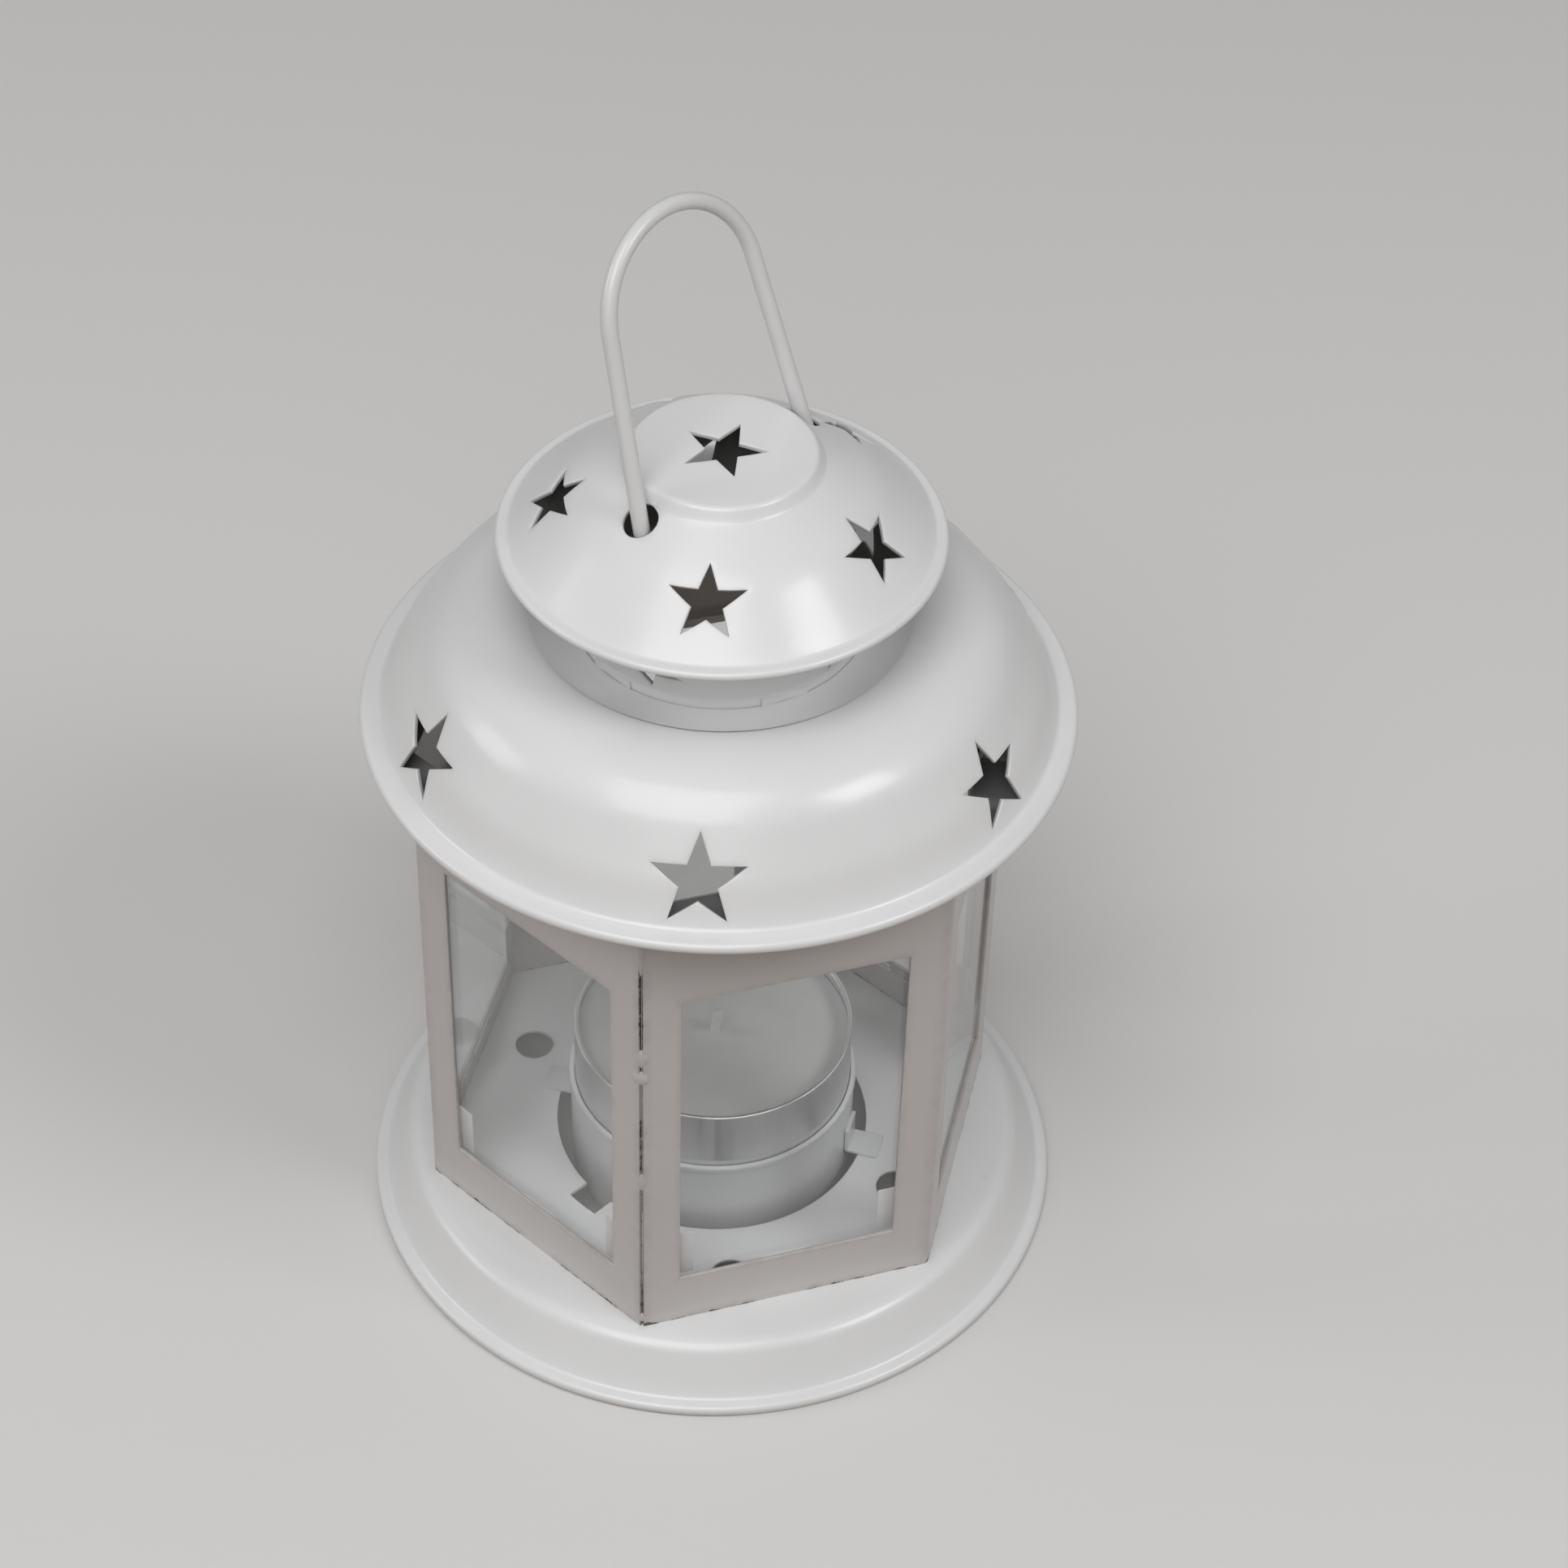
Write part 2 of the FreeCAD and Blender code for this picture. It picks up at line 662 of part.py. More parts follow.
def make_case():
    """Thin drawn case of the tealight, with a small bead at its rim."""
    points = [(case_radius, case_top), (case_radius, case_bottom), (0, case_bottom)]
    shell = spun_sheet(points, [0, case_corner_round, 0], case_sheet)
    bead = Part.makeTorus(case_radius - case_sheet, case_bead_radius, vec(0, 0, case_top))
    trim = disc(case_radius + overrun, case_top - overrun, case_top + overrun)
    trim = trim.cut(disc(case_radius, case_top - overrun, case_top + overrun))
    return union([shell, bead]).cut(trim)


def make_sustainer():
    """Flat metal foot with a crimped neck that holds the wick upright."""
    neck_radius = wick_radius + sustainer_neck_sheet
    foot = disc(sustainer_radius, wax_bottom, wax_bottom + sustainer_sheet)
    neck = disc(neck_radius, wax_bottom, wax_bottom + sustainer_neck_height)
    return union([foot, neck]).cut(disc(wick_radius, wax_bottom + sustainer_sheet, wax_top))


def make_wick():
    """Waxed cotton wick, standing in the sustainer's neck."""
    wick = disc(wick_radius, wax_bottom + sustainer_sheet, wax_top + wick_rise)
    rims = [edge for edge in wick.Edges if abs(edge.BoundBox.ZMin - wax_top - wick_rise) < wick_radius
            and edge.BoundBox.ZLength < wick_radius]
    return wick.makeFillet(wick_radius / 2, rims)


def make_wax():
    """Wax fill, cast round the wick and its foot."""
    radius = case_radius - case_sheet - wax_play
    fill = disc(radius, wax_bottom, wax_top)
    low_rim = [edge for edge in fill.Edges if edge.BoundBox.ZMax < wax_bottom + wax_play]
    fill = fill.makeFillet(case_corner_round, low_rim)
    return fill.cut([make_sustainer(), disc(wick_radius, wax_bottom, wax_top + overrun)])


def make_parts():
    parts = {
        "base_dish": make_base(),
        "body_frame": make_body(),
        "side_glass_clips": Part.makeCompound(make_side_clips()),
        "rail_glass_clips": Part.makeCompound(make_rail_clips()),
        "ceiling_plate": make_plate(),
        "roof": make_roof(),
        "vent_collar": make_collar(),
        "cap": make_cap(),
        "bail_handle": make_bail(),
        "candle_cup": make_cup(),
        "tealight_case": make_case(),
        "candle_wax": make_wax(),
        "wick_sustainer": make_sustainer(),
        "candle_wick": make_wick(),
    }
    for number, angle in enumerate(face_angles(), start=1):
        parts["glass_pane_" + str(number)] = make_pane(angle)
    return parts


os.makedirs("parts", exist_ok=True)
for name, shape in make_parts().items():
    shape.exportStep("parts/" + name + ".step")
    print(name, "solids", len(shape.Solids), "volume", round(shape.Volume, 1), "valid", shape.isValid())
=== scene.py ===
import json
import math

import bpy
import numpy as np
from mathutils import Matrix, Vector


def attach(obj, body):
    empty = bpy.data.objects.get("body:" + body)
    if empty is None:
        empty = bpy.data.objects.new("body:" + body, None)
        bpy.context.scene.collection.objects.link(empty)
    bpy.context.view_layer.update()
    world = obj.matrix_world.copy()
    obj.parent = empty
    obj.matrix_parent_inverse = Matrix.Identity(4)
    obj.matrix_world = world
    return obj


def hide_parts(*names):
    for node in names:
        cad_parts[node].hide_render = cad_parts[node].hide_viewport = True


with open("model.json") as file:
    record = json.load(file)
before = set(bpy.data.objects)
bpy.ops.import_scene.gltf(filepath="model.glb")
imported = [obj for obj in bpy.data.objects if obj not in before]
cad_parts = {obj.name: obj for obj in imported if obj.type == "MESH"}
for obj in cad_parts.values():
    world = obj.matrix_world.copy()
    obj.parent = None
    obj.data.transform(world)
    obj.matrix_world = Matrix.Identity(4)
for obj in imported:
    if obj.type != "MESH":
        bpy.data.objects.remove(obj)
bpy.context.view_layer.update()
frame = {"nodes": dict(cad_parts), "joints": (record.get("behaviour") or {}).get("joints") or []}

# The base: a steel dish pressed upside down, 0.5 mm thick, with its rim rolled under. Four air
# holes and the cup's hole with its two notches are punched before it is sprayed with white enamel.

MM = 0.001
TURN = 2 * math.pi


def cad_size(node):
    """A CAD node's largest distance from the axis, its lowest and its highest point, in mm."""
    mesh = frame["nodes"][node].data
    points = np.empty(len(mesh.vertices) * 3, np.float32)
    mesh.vertices.foreach_get("co", points)
    points = points.reshape(-1, 3) / MM
    return np.hypot(points[:, 0], points[:, 1]).max(), points[:, 2].min(), points[:, 2].max()


def bent_run(points, rounds, step=1.2, arc_step=0.25, arc_turn=0.16):
    """Samples a run of straight lines joined by arcs that touch both lines.

    An arc starts its radius times the tangent of half the turn before the corner. Gives the
    samples, their unit normals to the right of the way, and the distance travelled."""
    points = np.array(points, float)
    ways = np.diff(points, axis=0)
    ways /= np.hypot(ways[:, 0], ways[:, 1])[:, None]
    headings = np.unwrap(np.arctan2(ways[:, 1], ways[:, 0]))
    turns = np.diff(headings)
    cuts = np.concatenate([[0], np.array(rounds) * np.tan(np.abs(turns) / 2), [0]])
    places, heads = [], []
    fewest = 3
    for i, (way, heading) in enumerate(zip(ways, headings)):
        start, stop = points[i] + way * cuts[i], points[i + 1] - way * cuts[i + 1]
        length = math.dist(start, stop)
        if length > 1e-4:
            share = np.linspace(0, 1, max(1, math.ceil(length / step)), endpoint=False)
            places.append(start + (stop - start) * share[:, None])
            heads.append(np.full(len(share), heading))
        if i < len(turns):
            side, radius, bend = np.sign(turns[i]), rounds[i], abs(turns[i])
            count = max(fewest, math.ceil(bend * radius / arc_step), math.ceil(bend / arc_turn))
            head = heading + turns[i] * np.linspace(0, 1, count, endpoint=False)
            centre = stop + side * radius * np.array([-way[1], way[0]])
            places.append(centre + side * radius * np.stack([np.sin(head), -np.cos(head)], 1))
            heads.append(head)
    places = np.concatenate(places + [points[-1:]])
    head = np.concatenate(heads + [headings[-1:]])
    travel = np.concatenate([[0], np.cumsum(np.hypot(*np.diff(places, axis=0).T))])
    return places, np.stack([np.sin(head), -np.cos(head)], 1), travel


def turned_sheet(run, start=None, fade=1.0, dents=0.03):
    """Surface of a sheet turned about Z: a is the distance along the run, b the angle, depth the
    way into the sheet. start(b) moves the run's first edge on, fading out over the fade. The
    radius sways by dents mm in two slow waves round the axis, as a pressed sheet's does."""
    places, right, travel = run

    def surface(a, b, depth):
        if start is not None:
            a = a + start(b) * np.clip(1 - a / fade, 0, 1)
        radius = np.interp(a, travel, places[:, 0]) + depth * np.interp(a, travel, right[:, 0])
        height = np.interp(a, travel, places[:, 1]) + depth * np.interp(a, travel, right[:, 1])
        radius = radius + dents * (np.sin(2 * b + 0.7) + 0.6 * np.sin(5 * b + a / 7))
        return np.stack([radius * np.cos(b), radius * np.sin(b), height + 0 * b], -1)

    return surface


def with_marks(values, marks, nearest=0.12):
    """The sorted values with the marks put in, and without the values that lie close to a mark."""
    marks = np.unique(np.round(marks, 9))
    values = np.asarray(values, float)
    clear = np.abs(values[:, None] - marks[None, :]).min(1) > nearest
    return np.sort(np.concatenate([values[clear], marks]))


def polygon_edge(corner_angles, corner_radii):
    """Radius of a polygon's edge, seen from its centre, at any angle.

    Between two corners P and Q the edge is met at P cross Q over the direction cross Q minus P."""
    order = np.argsort(np.mod(corner_angles, TURN))
    angles = np.mod(corner_angles, TURN)[order]
    radii = np.asarray(corner_radii, float)[order]
    x, y = radii * np.cos(angles), radii * np.sin(angles)

    def edge(theta):
        theta = np.mod(theta, TURN)
        i = (np.searchsorted(angles, theta + 1e-9) - 1) % len(angles)
        j = (i + 1) % len(angles)
        way_x, way_y = x[j] - x[i], y[j] - y[i]
        return (x[i] * y[j] - y[i] * x[j]) / (np.cos(theta) * way_y - np.sin(theta) * way_x)

    return edge, angles


def star_edge(points_radius, turn=0.0, waist=0.4):
    """A five-pointed star's edge, with its first point at 90 degrees plus the turn."""
    angles = np.radians(90 + turn) + np.arange(10) * TURN / 10
    return polygon_edge(angles, np.where(np.arange(10) % 2 == 0, points_radius, points_radius * waist))


def round_hole(radius):
    """A round hole's edge: the same radius at every angle, and no corners."""

    def edge(theta):
        return np.full_like(theta, radius)

    return edge, np.array([])


def holes_around(edge, away, angles, reach):
    """The same hole at each angle, in degrees, away along the run. The reach is how far its block of
    the grid goes to the left, to the right, up and down the run from its middle."""
    return [{"edge": edge, "a": away, "b": math.radians(angle), "reach": reach} for angle in angles]


def rows_inside(run, holes):
    """Rows for a turned sheet: the run's own samples between its two eased edges, with a row on the
    border of each hole's block."""
    first, last = sheet_ease, run[2][-1] - sheet_ease
    above = [hole["a"] - hole["reach"][2] for hole in holes]
    below = [hole["a"] + hole["reach"][3] for hole in holes]
    rows = with_marks(run[2], above + below + [first, last])
    return rows[(rows >= first) & (rows <= last)]


def columns_around(step):
    """Columns for a turned sheet: angles a step of degrees apart, once round."""
    return np.radians(np.arange(0, 360, step))


def radius_along(run):
    """The turned sheet's radius as a function of the distance along its run."""

    def radius(a):
        return np.interp(a, run[2], run[0][:, 0])

    return radius


sheet_ease = 0.12
sink_reach = 0.35
wear_reach = 0.6


def punched_sheet(surface, scale, rows, columns, wall, holes, closed=True, ease=sheet_ease, roll=0.10):
    """A sheet of even thickness over a grid of rows and columns, with punched holes, as a closed shell.

    surface(a, b, depth) gives the points, and scale(a) the length of one unit of b. Each hole takes
    a block of the grid. Loops fill it: from the block's border to the hole's edge, round the sheet's
    rounded edge, and back behind it. Near the edge the face sinks by the roll times e to the power
    of minus the distance over the sink's reach, as punched sheet does. Gives points, quads, a wear
    value, 1 at edges and less away from them, and an inner value, which goes from 0 to 1 through the
    wall of a hole and is 1 on the inner face."""
    down, across = np.meshgrid(rows, columns, indexing="ij")
    n, m = down.shape
    index = np.arange(n * m).reshape(n, m)
    points = [surface(down, across, 0).reshape(-1, 3), surface(down, across, wall).reshape(-1, 3)]
    wear, inner = [np.zeros(2 * n * m)], [np.zeros(n * m), np.ones(n * m)]
    span = np.hstack([index, index[:, :1]]) if closed else index
    kept = np.ones((n - 1, span.shape[1] - 1), bool)
    faces = []
    count = 2 * n * m
    arc = np.radians([30, 60, 90])
    inset = np.concatenate([ease * (1 - np.sin(arc)), ease * (1 - np.sin(arc[::-1]))])
    sink = np.concatenate([ease * (1 - np.cos(arc)), wall - ease * (1 - np.cos(arc[::-1]))])
    shares = np.array([0.62, 0.34, 0.16, 0.07, 0.03, 0.0])

    def join_loops(loops):
        for one, two in zip(loops, loops[1:]):
            faces.append(np.stack([one, np.roll(one, -1), np.roll(two, -1), two], 1))

    for hole in holes:
        edge, corners = hole["edge"]
        left, right, up, below = hole["reach"]
        i0 = np.abs(rows - (hole["a"] - up)).argmin()
        i1 = np.abs(rows - (hole["a"] + below)).argmin()
        reach_b = columns - hole["b"]
        if closed:
            reach_b = (reach_b + TURN / 2) % TURN - TURN / 2
        j0 = np.abs(reach_b * scale(hole["a"]) + left).argmin()
        width = (np.abs(reach_b * scale(hole["a"]) - right).argmin() - j0) % m
        cols = (j0 + np.arange(width + 1)) % m
        kept[np.ix_(np.arange(i0, i1), cols[:-1])] = False
        ring_i = np.concatenate([np.full(width, i1), np.arange(i1, i0, -1),
                                 np.full(width, i0), np.arange(i0, i1)])
        ring_j = np.concatenate([cols[:-1], np.full(i1 - i0, cols[-1]),
                                 cols[:0:-1], np.full(i1 - i0, cols[0])])
        border = index[ring_i, ring_j]
        x, y = reach_b[ring_j] * scale(rows[ring_i]), hole["a"] - rows[ring_i]
        theta = np.mod(np.arctan2(y, x), TURN)
        for corner in corners:
            away = np.abs((theta - corner + TURN / 2) % TURN - TURN / 2)
            theta[away.argmin()] = corner
        lip = edge(theta)
        far = np.hypot(x, y)
        loops = [border]
        rings = [(lip + ease + (far - lip - ease) * s, np.zeros_like(lip)) for s in shares]
        rings += [(lip + i, np.full_like(lip, d)) for i, d in zip(inset, sink)]
        rings += [(lip + ease + (far - lip - ease) * s, np.full_like(lip, wall)) for s in shares[::-1]]
        for position, (reach, depth) in enumerate(rings):
            flat = position < len(shares) or position >= len(rings) - len(shares)
            away = reach - lip
            mix = np.clip(away / np.maximum(far - lip, 1e-6), 0, 1) if flat else np.zeros_like(lip)
            px = reach * np.cos(theta) * (1 - mix) + x * (reach / far) * mix
            py = reach * np.sin(theta) * (1 - mix) + y * (reach / far) * mix
            a = hole["a"] - py
            b = hole["b"] + px / scale(a)
            points.append(surface(a, b, depth + roll * np.exp(-away / sink_reach)))
            wear.append(np.exp(-away / wear_reach))
            inner.append(np.clip(depth / wall, 0, 1))
            loops.append(count + np.arange(len(lip)))
            count += len(lip)
        loops.append(border + n * m)
        join_loops(loops)

    a, b, c, d = span[:-1, :-1], span[1:, :-1], span[1:, 1:], span[:-1, 1:]
    faces.append(np.stack([a, b, c, d], -1)[kept])
    faces.append(np.stack([a, d, c, b], -1)[kept] + n * m)
    if closed:
        borders = [(index[0], rows[0], -1), (index[-1][::-1], rows[-1], 1)]
        for border, row, way in borders:
            loops = [border]
            for i, depth in zip(inset, sink):
                b = columns[border % m]
                points.append(surface(np.full(m, row + way * (ease - i)), b, np.full(m, depth)))
                wear.append(np.ones(m))
                inner.append(np.zeros(m))
                loops.append(count + np.arange(m))
                count += m
            loops.append(border + n * m)
            join_loops(loops)
    else:
        border = np.concatenate([index[0, :-1], index[:-1, -1], index[-1, :0:-1], index[:0:-1, 0]])
        join_loops([border, border + n * m])
    return (np.concatenate(points), np.concatenate(faces).tolist(), np.concatenate(wear),
            np.concatenate(inner).astype(float))


def closed_shell(loops, wear=0.0):
    """A closed shell through loops of points, (loop, point, xyz), with each end closed in a fan to its
    middle. The faces are turned outwards: the sum over triangles of a dot (b cross c) is positive."""
    n, m = loops.shape[:2]
    points = np.concatenate([loops.reshape(-1, 3), loops[0].mean(0)[None], loops[-1].mean(0)[None]])
    index = np.arange(n * m).reshape(n, m)
    after = np.roll(index, -1, axis=1)
    first, last = np.full(m, n * m), np.full(m, n * m + 1)
    quads = np.stack([index[:-1], after[:-1], after[1:], index[1:]], -1).reshape(-1, 4)
    fans = np.concatenate([np.stack([first, after[0], index[0]], 1),
                           np.stack([last, index[-1], after[-1]], 1)])
    triangles = np.concatenate([quads[:, :3], quads[:, [0, 2, 3]], fans])
    a, b, c = (points[triangles[:, k]] for k in range(3))
    way = 1 if np.einsum("ij,ij->", a, np.cross(b, c)) > 0 else -1
    faces = [face[::way] for face in quads.tolist() + fans.tolist()]
    return points, faces, np.full(len(points), wear), np.zeros(len(points))


def piece(name, parts, node, material, body="lantern", sharp=40.0):
    """Joins parts of (points, faces, wear, inner) into one mesh that stands for its CAD node and rides
    on its body."""
    faces, count = [], 0
    for part in parts:
        faces += [[k + count for k in face] for face in part[1]]
        count += len(part[0])
    mesh = bpy.data.meshes.new(name)
    mesh.from_pydata((np.concatenate([part[0] for part in parts]) * MM).tolist(), [], faces)
    for column, label in ((2, "worn"), (3, "inner")):
        values = np.concatenate([part[column] for part in parts])
        mesh.attributes.new(label, "FLOAT", "POINT").data.foreach_set("value", values)
    mesh.shade_smooth()
    mesh.set_sharp_from_angle(angle=math.radians(sharp))
    mesh.materials.append(material)
    made = bpy.data.objects.new(name, mesh)
    bpy.context.scene.collection.objects.link(made)
    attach(made, body)
    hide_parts(node)


class Finish:
    """The nodes of a material or a world, with short ways to add, set and link them."""

    def __init__(self, made, shader="Principled BSDF", output="Material Output"):
        made.use_nodes = True
        self.made = made
        self.tree = made.node_tree
        self.shader = self.tree.nodes[shader]
        self.output = self.tree.nodes[output]

    def put(self, socket, value):
        """Sets a socket to a number, a vector or a colour, or links it to another socket. A name
        stands for one of the shader's sockets."""
        if isinstance(socket, str):
            socket = self.shader.inputs[socket]
        if isinstance(value, bpy.types.NodeSocket):
            self.tree.links.new(value, socket)
        elif isinstance(value, tuple):
            socket.default_value = value + (1,) * (len(socket.default_value) - len(value))
        else:
            socket.default_value = value

    def node(self, kind, result, sockets, **settings):
        """Adds a node, fills its sockets, and gives the output that is its result."""
        node = self.tree.nodes.new(kind)
        for key, setting in settings.items():
            setattr(node, key, setting)
        for key, value in sockets.items():
            self.put(node.inputs[key], value)
        return node.outputs[result]

    def noise(self, scale, detail=3.0, rough=0.5):
        place = self.node("ShaderNodeTexCoord", "Object", {})
        return self.node("ShaderNodeTexNoise", "Fac",
                         {"Vector": place, "Scale": scale, "Detail": detail, "Roughness": rough})

    def ranged(self, value, low, high, to_low, to_high):
        return self.node("ShaderNodeMapRange", "Result", {"Value": value, "From Min": low, "From Max": high,
                                                          "To Min": to_low, "To Max": to_high})

    def mixed(self, share, one, two):
        """A mix of two colours. The node's sockets for colours are 6, 7 and, for the result, 2."""
        return self.node("ShaderNodeMix", 2, {0: share, 6: one, 7: two}, data_type="RGBA")

    def maths(self, operation, one, two):
        return self.node("ShaderNodeMath", 0, {0: one, 1: two}, operation=operation)

    def bumped(self, height, strength, distance, before=None):
        sockets = {"Height": height, "Strength": strength, "Distance": distance}
        if before is not None:
            sockets["Normal"] = before
        return self.node("ShaderNodeBump", "Normal", sockets)

    def rays(self, *kinds):
        """1 for the named kinds of ray, such as Camera or Glossy, and 0 for the others."""
        path = self.tree.nodes.new("ShaderNodeLightPath")
        share = path.outputs[f"Is {kinds[0]} Ray"]
        for kind in kinds[1:]:
            share = self.maths("MAXIMUM", share, path.outputs[f"Is {kind} Ray"])
        return share

    def blend(self, share, other):
        """Mixes another shader into the output by the share."""
        mix = self.node("ShaderNodeMixShader", 0, {0: share, 1: self.shader.outputs[0], 2: other})
        self.put(self.output.inputs["Surface"], mix)


def material(name):
    """A new material's finish."""
    return Finish(bpy.data.materials.new(name))


bare_steel = (0.085, 0.065, 0.06)
patch_share = 0.95
chip_edge = 0.04


def enamel(name, tone, thin_tone, chip_from=0.78, inner_shade=0.25):
    """Gloss enamel on steel: orange peel 1.3 mm across, slow waves, thin greyer paint on worn
    edges, and chips down to steel where the wear is highest. The inner face and the walls of holes
    are painted shade: there the colour is darkened to a given share of the tone."""
    paint = material(name)
    worn = paint.node("ShaderNodeAttribute", "Fac", {}, attribute_name="worn")
    inner = paint.node("ShaderNodeAttribute", "Fac", {}, attribute_name="inner")
    patches = paint.ranged(paint.noise(55, 4.0, 0.6), 0.2, 0.8, 0, 1)
    toned = paint.mixed(patches, tone, tuple(patch_share * c for c in tone))
    # Painted shade: the inner face and the hole walls take only a share of the tone.
    toned = paint.mixed(inner, toned, tuple(inner_shade * c for c in tone))
    thin = paint.maths("MULTIPLY", worn, paint.ranged(paint.noise(420, 3.0, 0.6), 0.35, 0.7, 0.15, 0.75))
    painted = paint.mixed(thin, toned, thin_tone)
    chips = paint.maths("MULTIPLY", worn, paint.noise(650, 4.0, 0.65))
    chipped = paint.ranged(chips, chip_from, chip_from + chip_edge, 0, 1)
    paint.put("Base Color", paint.mixed(chipped, painted, bare_steel))
    gloss = paint.ranged(paint.noise(140), 0.15, 0.85, 0.26, 0.40)
    paint.put("Roughness", paint.maths("ADD", gloss, paint.maths("MULTIPLY", chipped, 0.35)))
    paint.put("Coat Weight", 0.35)
    paint.put("Coat Roughness", 0.16)
    waves = paint.bumped(paint.noise(95, 1.0, 0.4), 0.10, 0.0006)
    peel = paint.bumped(paint.noise(760, 2.0), 0.10, 0.00008, waves)
    paint.put("Normal", paint.bumped(paint.maths("SUBTRACT", 1.0, chipped), 0.5, 0.00012, peel))
    return paint.made


white = enamel("white_enamel", (0.83, 0.83, 0.83), (0.64, 0.63, 0.62))

base_radius, base_foot, base_top = cad_size("base_dish")
body_corner = 38.8
base_sheet = 0.5
base_ledge = 1.8
base_lip_width = 1.6
base_roll_width = 1.3
base_shoulder_round = 2.6
base_lip_round = 0.7
base_flat = body_corner + base_ledge
base_lip = base_radius - base_lip_width
base_lip_height = base_foot + base_lip_width
cup_hole = 20.6
notch_depth = 3.0
notch_width = 4.8
notch_middles = np.radians([58.0, 238.0])
notch_half = notch_width / 2 / (cup_hole + notch_depth)
notch_bevel = 0.012
base_run = bent_run(
    [(cup_hole, base_top), (base_flat, base_top), (base_lip, base_lip_height),
     (base_radius, base_lip_height), (base_radius, base_foot), (base_radius - base_roll_width, base_foot)],
    [base_shoulder_round, base_lip_round, base_lip_round, base_lip_round])


def notched(b):
    """How far the cup's hole is cut back at angle b: the notch's depth inside it, nothing outside,
    and a straight slope over a small bevel between."""
    away = np.abs((b[..., None] - notch_middles + TURN / 2) % TURN - TURN / 2).min(-1)
    return notch_depth * np.clip((notch_half + notch_bevel - away) / notch_bevel, 0, 1)


air_radius = 2.6
air_reach = 3.3
air_holes = []
for ring, angles in ((27.4, (166.0, -14.0)), (28.4, (-72.0, 108.0))):
    air_holes += holes_around(round_hole(air_radius), ring - cup_hole, angles, (air_reach,) * 4)
edges = [middle + side * way for middle in notch_middles for side in (-1, 1)
         for way in (notch_half, notch_half + notch_bevel)]
columns = with_marks(columns_around(1.0), np.mod(edges, TURN), nearest=0.004)
notch_fade = 3.4
base_shell = punched_sheet(turned_sheet(base_run, notched, notch_fade), radius_along(base_run),
                           rows_inside(base_run, air_holes), columns, base_sheet, air_holes)
piece("base_dish_enamelled", [base_shell], "base_dish", white)

# The body: one steel strip, 0.5 mm thick, with six windows punched in it, folded to a hexagon. Its
# ends meet at the front corner in an open joint, held by spots of weld. Tabs on its two edges go
# through slots in the base and the ceiling plate and are bent flat behind them.

body_head = cad_size("body_frame")[2]
body_bottom = base_top
_, body_top, plate_top = cad_size("ceiling_plate")
body_tall = body_top - body_bottom
body_sheet = 0.5
post_width = 5.1
foot_rail = 7.9
head_rail = 16.1
seam_half = 0.33
fold_round = 0.95
face_bow = 0.06
face_half = body_corner / 2
face_away = body_corner * math.cos(TURN / 12)
face_in = face_away - body_sheet
window_half = face_half - post_width
window_low = body_bottom + foot_rail
window_high = body_top - head_rail
corner_angles = np.radians(-90 + 60 * np.arange(7))
strip_points = body_corner * np.stack([np.cos(corner_angles), np.sin(corner_angles)], 1)
strip_way = (strip_points[1] - strip_points[0]) / body_corner
strip_points[0] += strip_way * seam_half
strip_points[-1] += (strip_points[-2] - strip_points[-1]) / body_corner * seam_half
strip_run = bent_run(strip_points, [fold_round] * 5, 1.3)
fold_cut = fold_round * math.tan(TURN / 12)
first_middle = face_half - seam_half
middle_step = 2 * (face_half - fold_cut) + fold_round * TURN / 6
face_middles = first_middle + middle_step * np.arange(6)


def folded_strip(a, b, depth):
    """The body's strip: a is the distance down from its upper edge, b the distance along it from the
    seam. Each face bows inwards at mid height, and the depth goes towards the axis."""
    places, right, travel = strip_run
    height = body_top - a
    middle = face_middles[np.abs(np.asarray(b)[..., None] - face_middles).argmin(-1)]
    away = np.clip(1 - ((b - middle) / face_half) ** 2, 0, 1)
    bow = face_bow * away * np.sin(np.pi * np.clip(a / body_tall, 0, 1))
    x = np.interp(b, travel, places[:, 0]) - (depth + bow) * np.interp(b, travel, right[:, 0])
    y = np.interp(b, travel, places[:, 1]) - (depth + bow) * np.interp(b, travel, right[:, 1])
    return np.stack([x, y, height + 0 * x], -1)


window_middle = body_top - (window_low + window_high) / 2
window_tall = (window_high - window_low) / 2
corner_turns = np.arctan2([window_tall, window_tall, -window_tall, -window_tall],
                          [window_half, -window_half, -window_half, window_half])
window_edge = polygon_edge(corner_turns, np.full(4, math.hypot(window_half, window_tall)))
margin = 1.1
block_half, block_tall = window_half + margin, window_tall + margin
windows = [{"edge": window_edge, "a": window_middle, "b": middle,
            "reach": (block_half, block_half, block_tall, block_tall)} for middle in face_middles]
row_marks = [window_middle + side * (window_tall + far) for side in (-1, 1) for far in (0, margin)]
row_count = 62
rows = with_marks(np.linspace(0, body_tall, row_count), row_marks + [0, body_tall], 0.3)
column_marks = [middle + side * (window_half + far) for middle in face_middles
                for side in (-1, 1) for far in (0, margin)]
columns = with_marks(strip_run[2], column_marks + [0, strip_run[2][-1]], 0.2)


def flat_scale(a):
    """One unit across the strip is 1 mm at every height."""
    return 1.0 + 0 * a


strip = punched_sheet(folded_strip, flat_scale, rows, columns, body_sheet, windows,
                      closed=False, ease=0.11, roll=0.03)
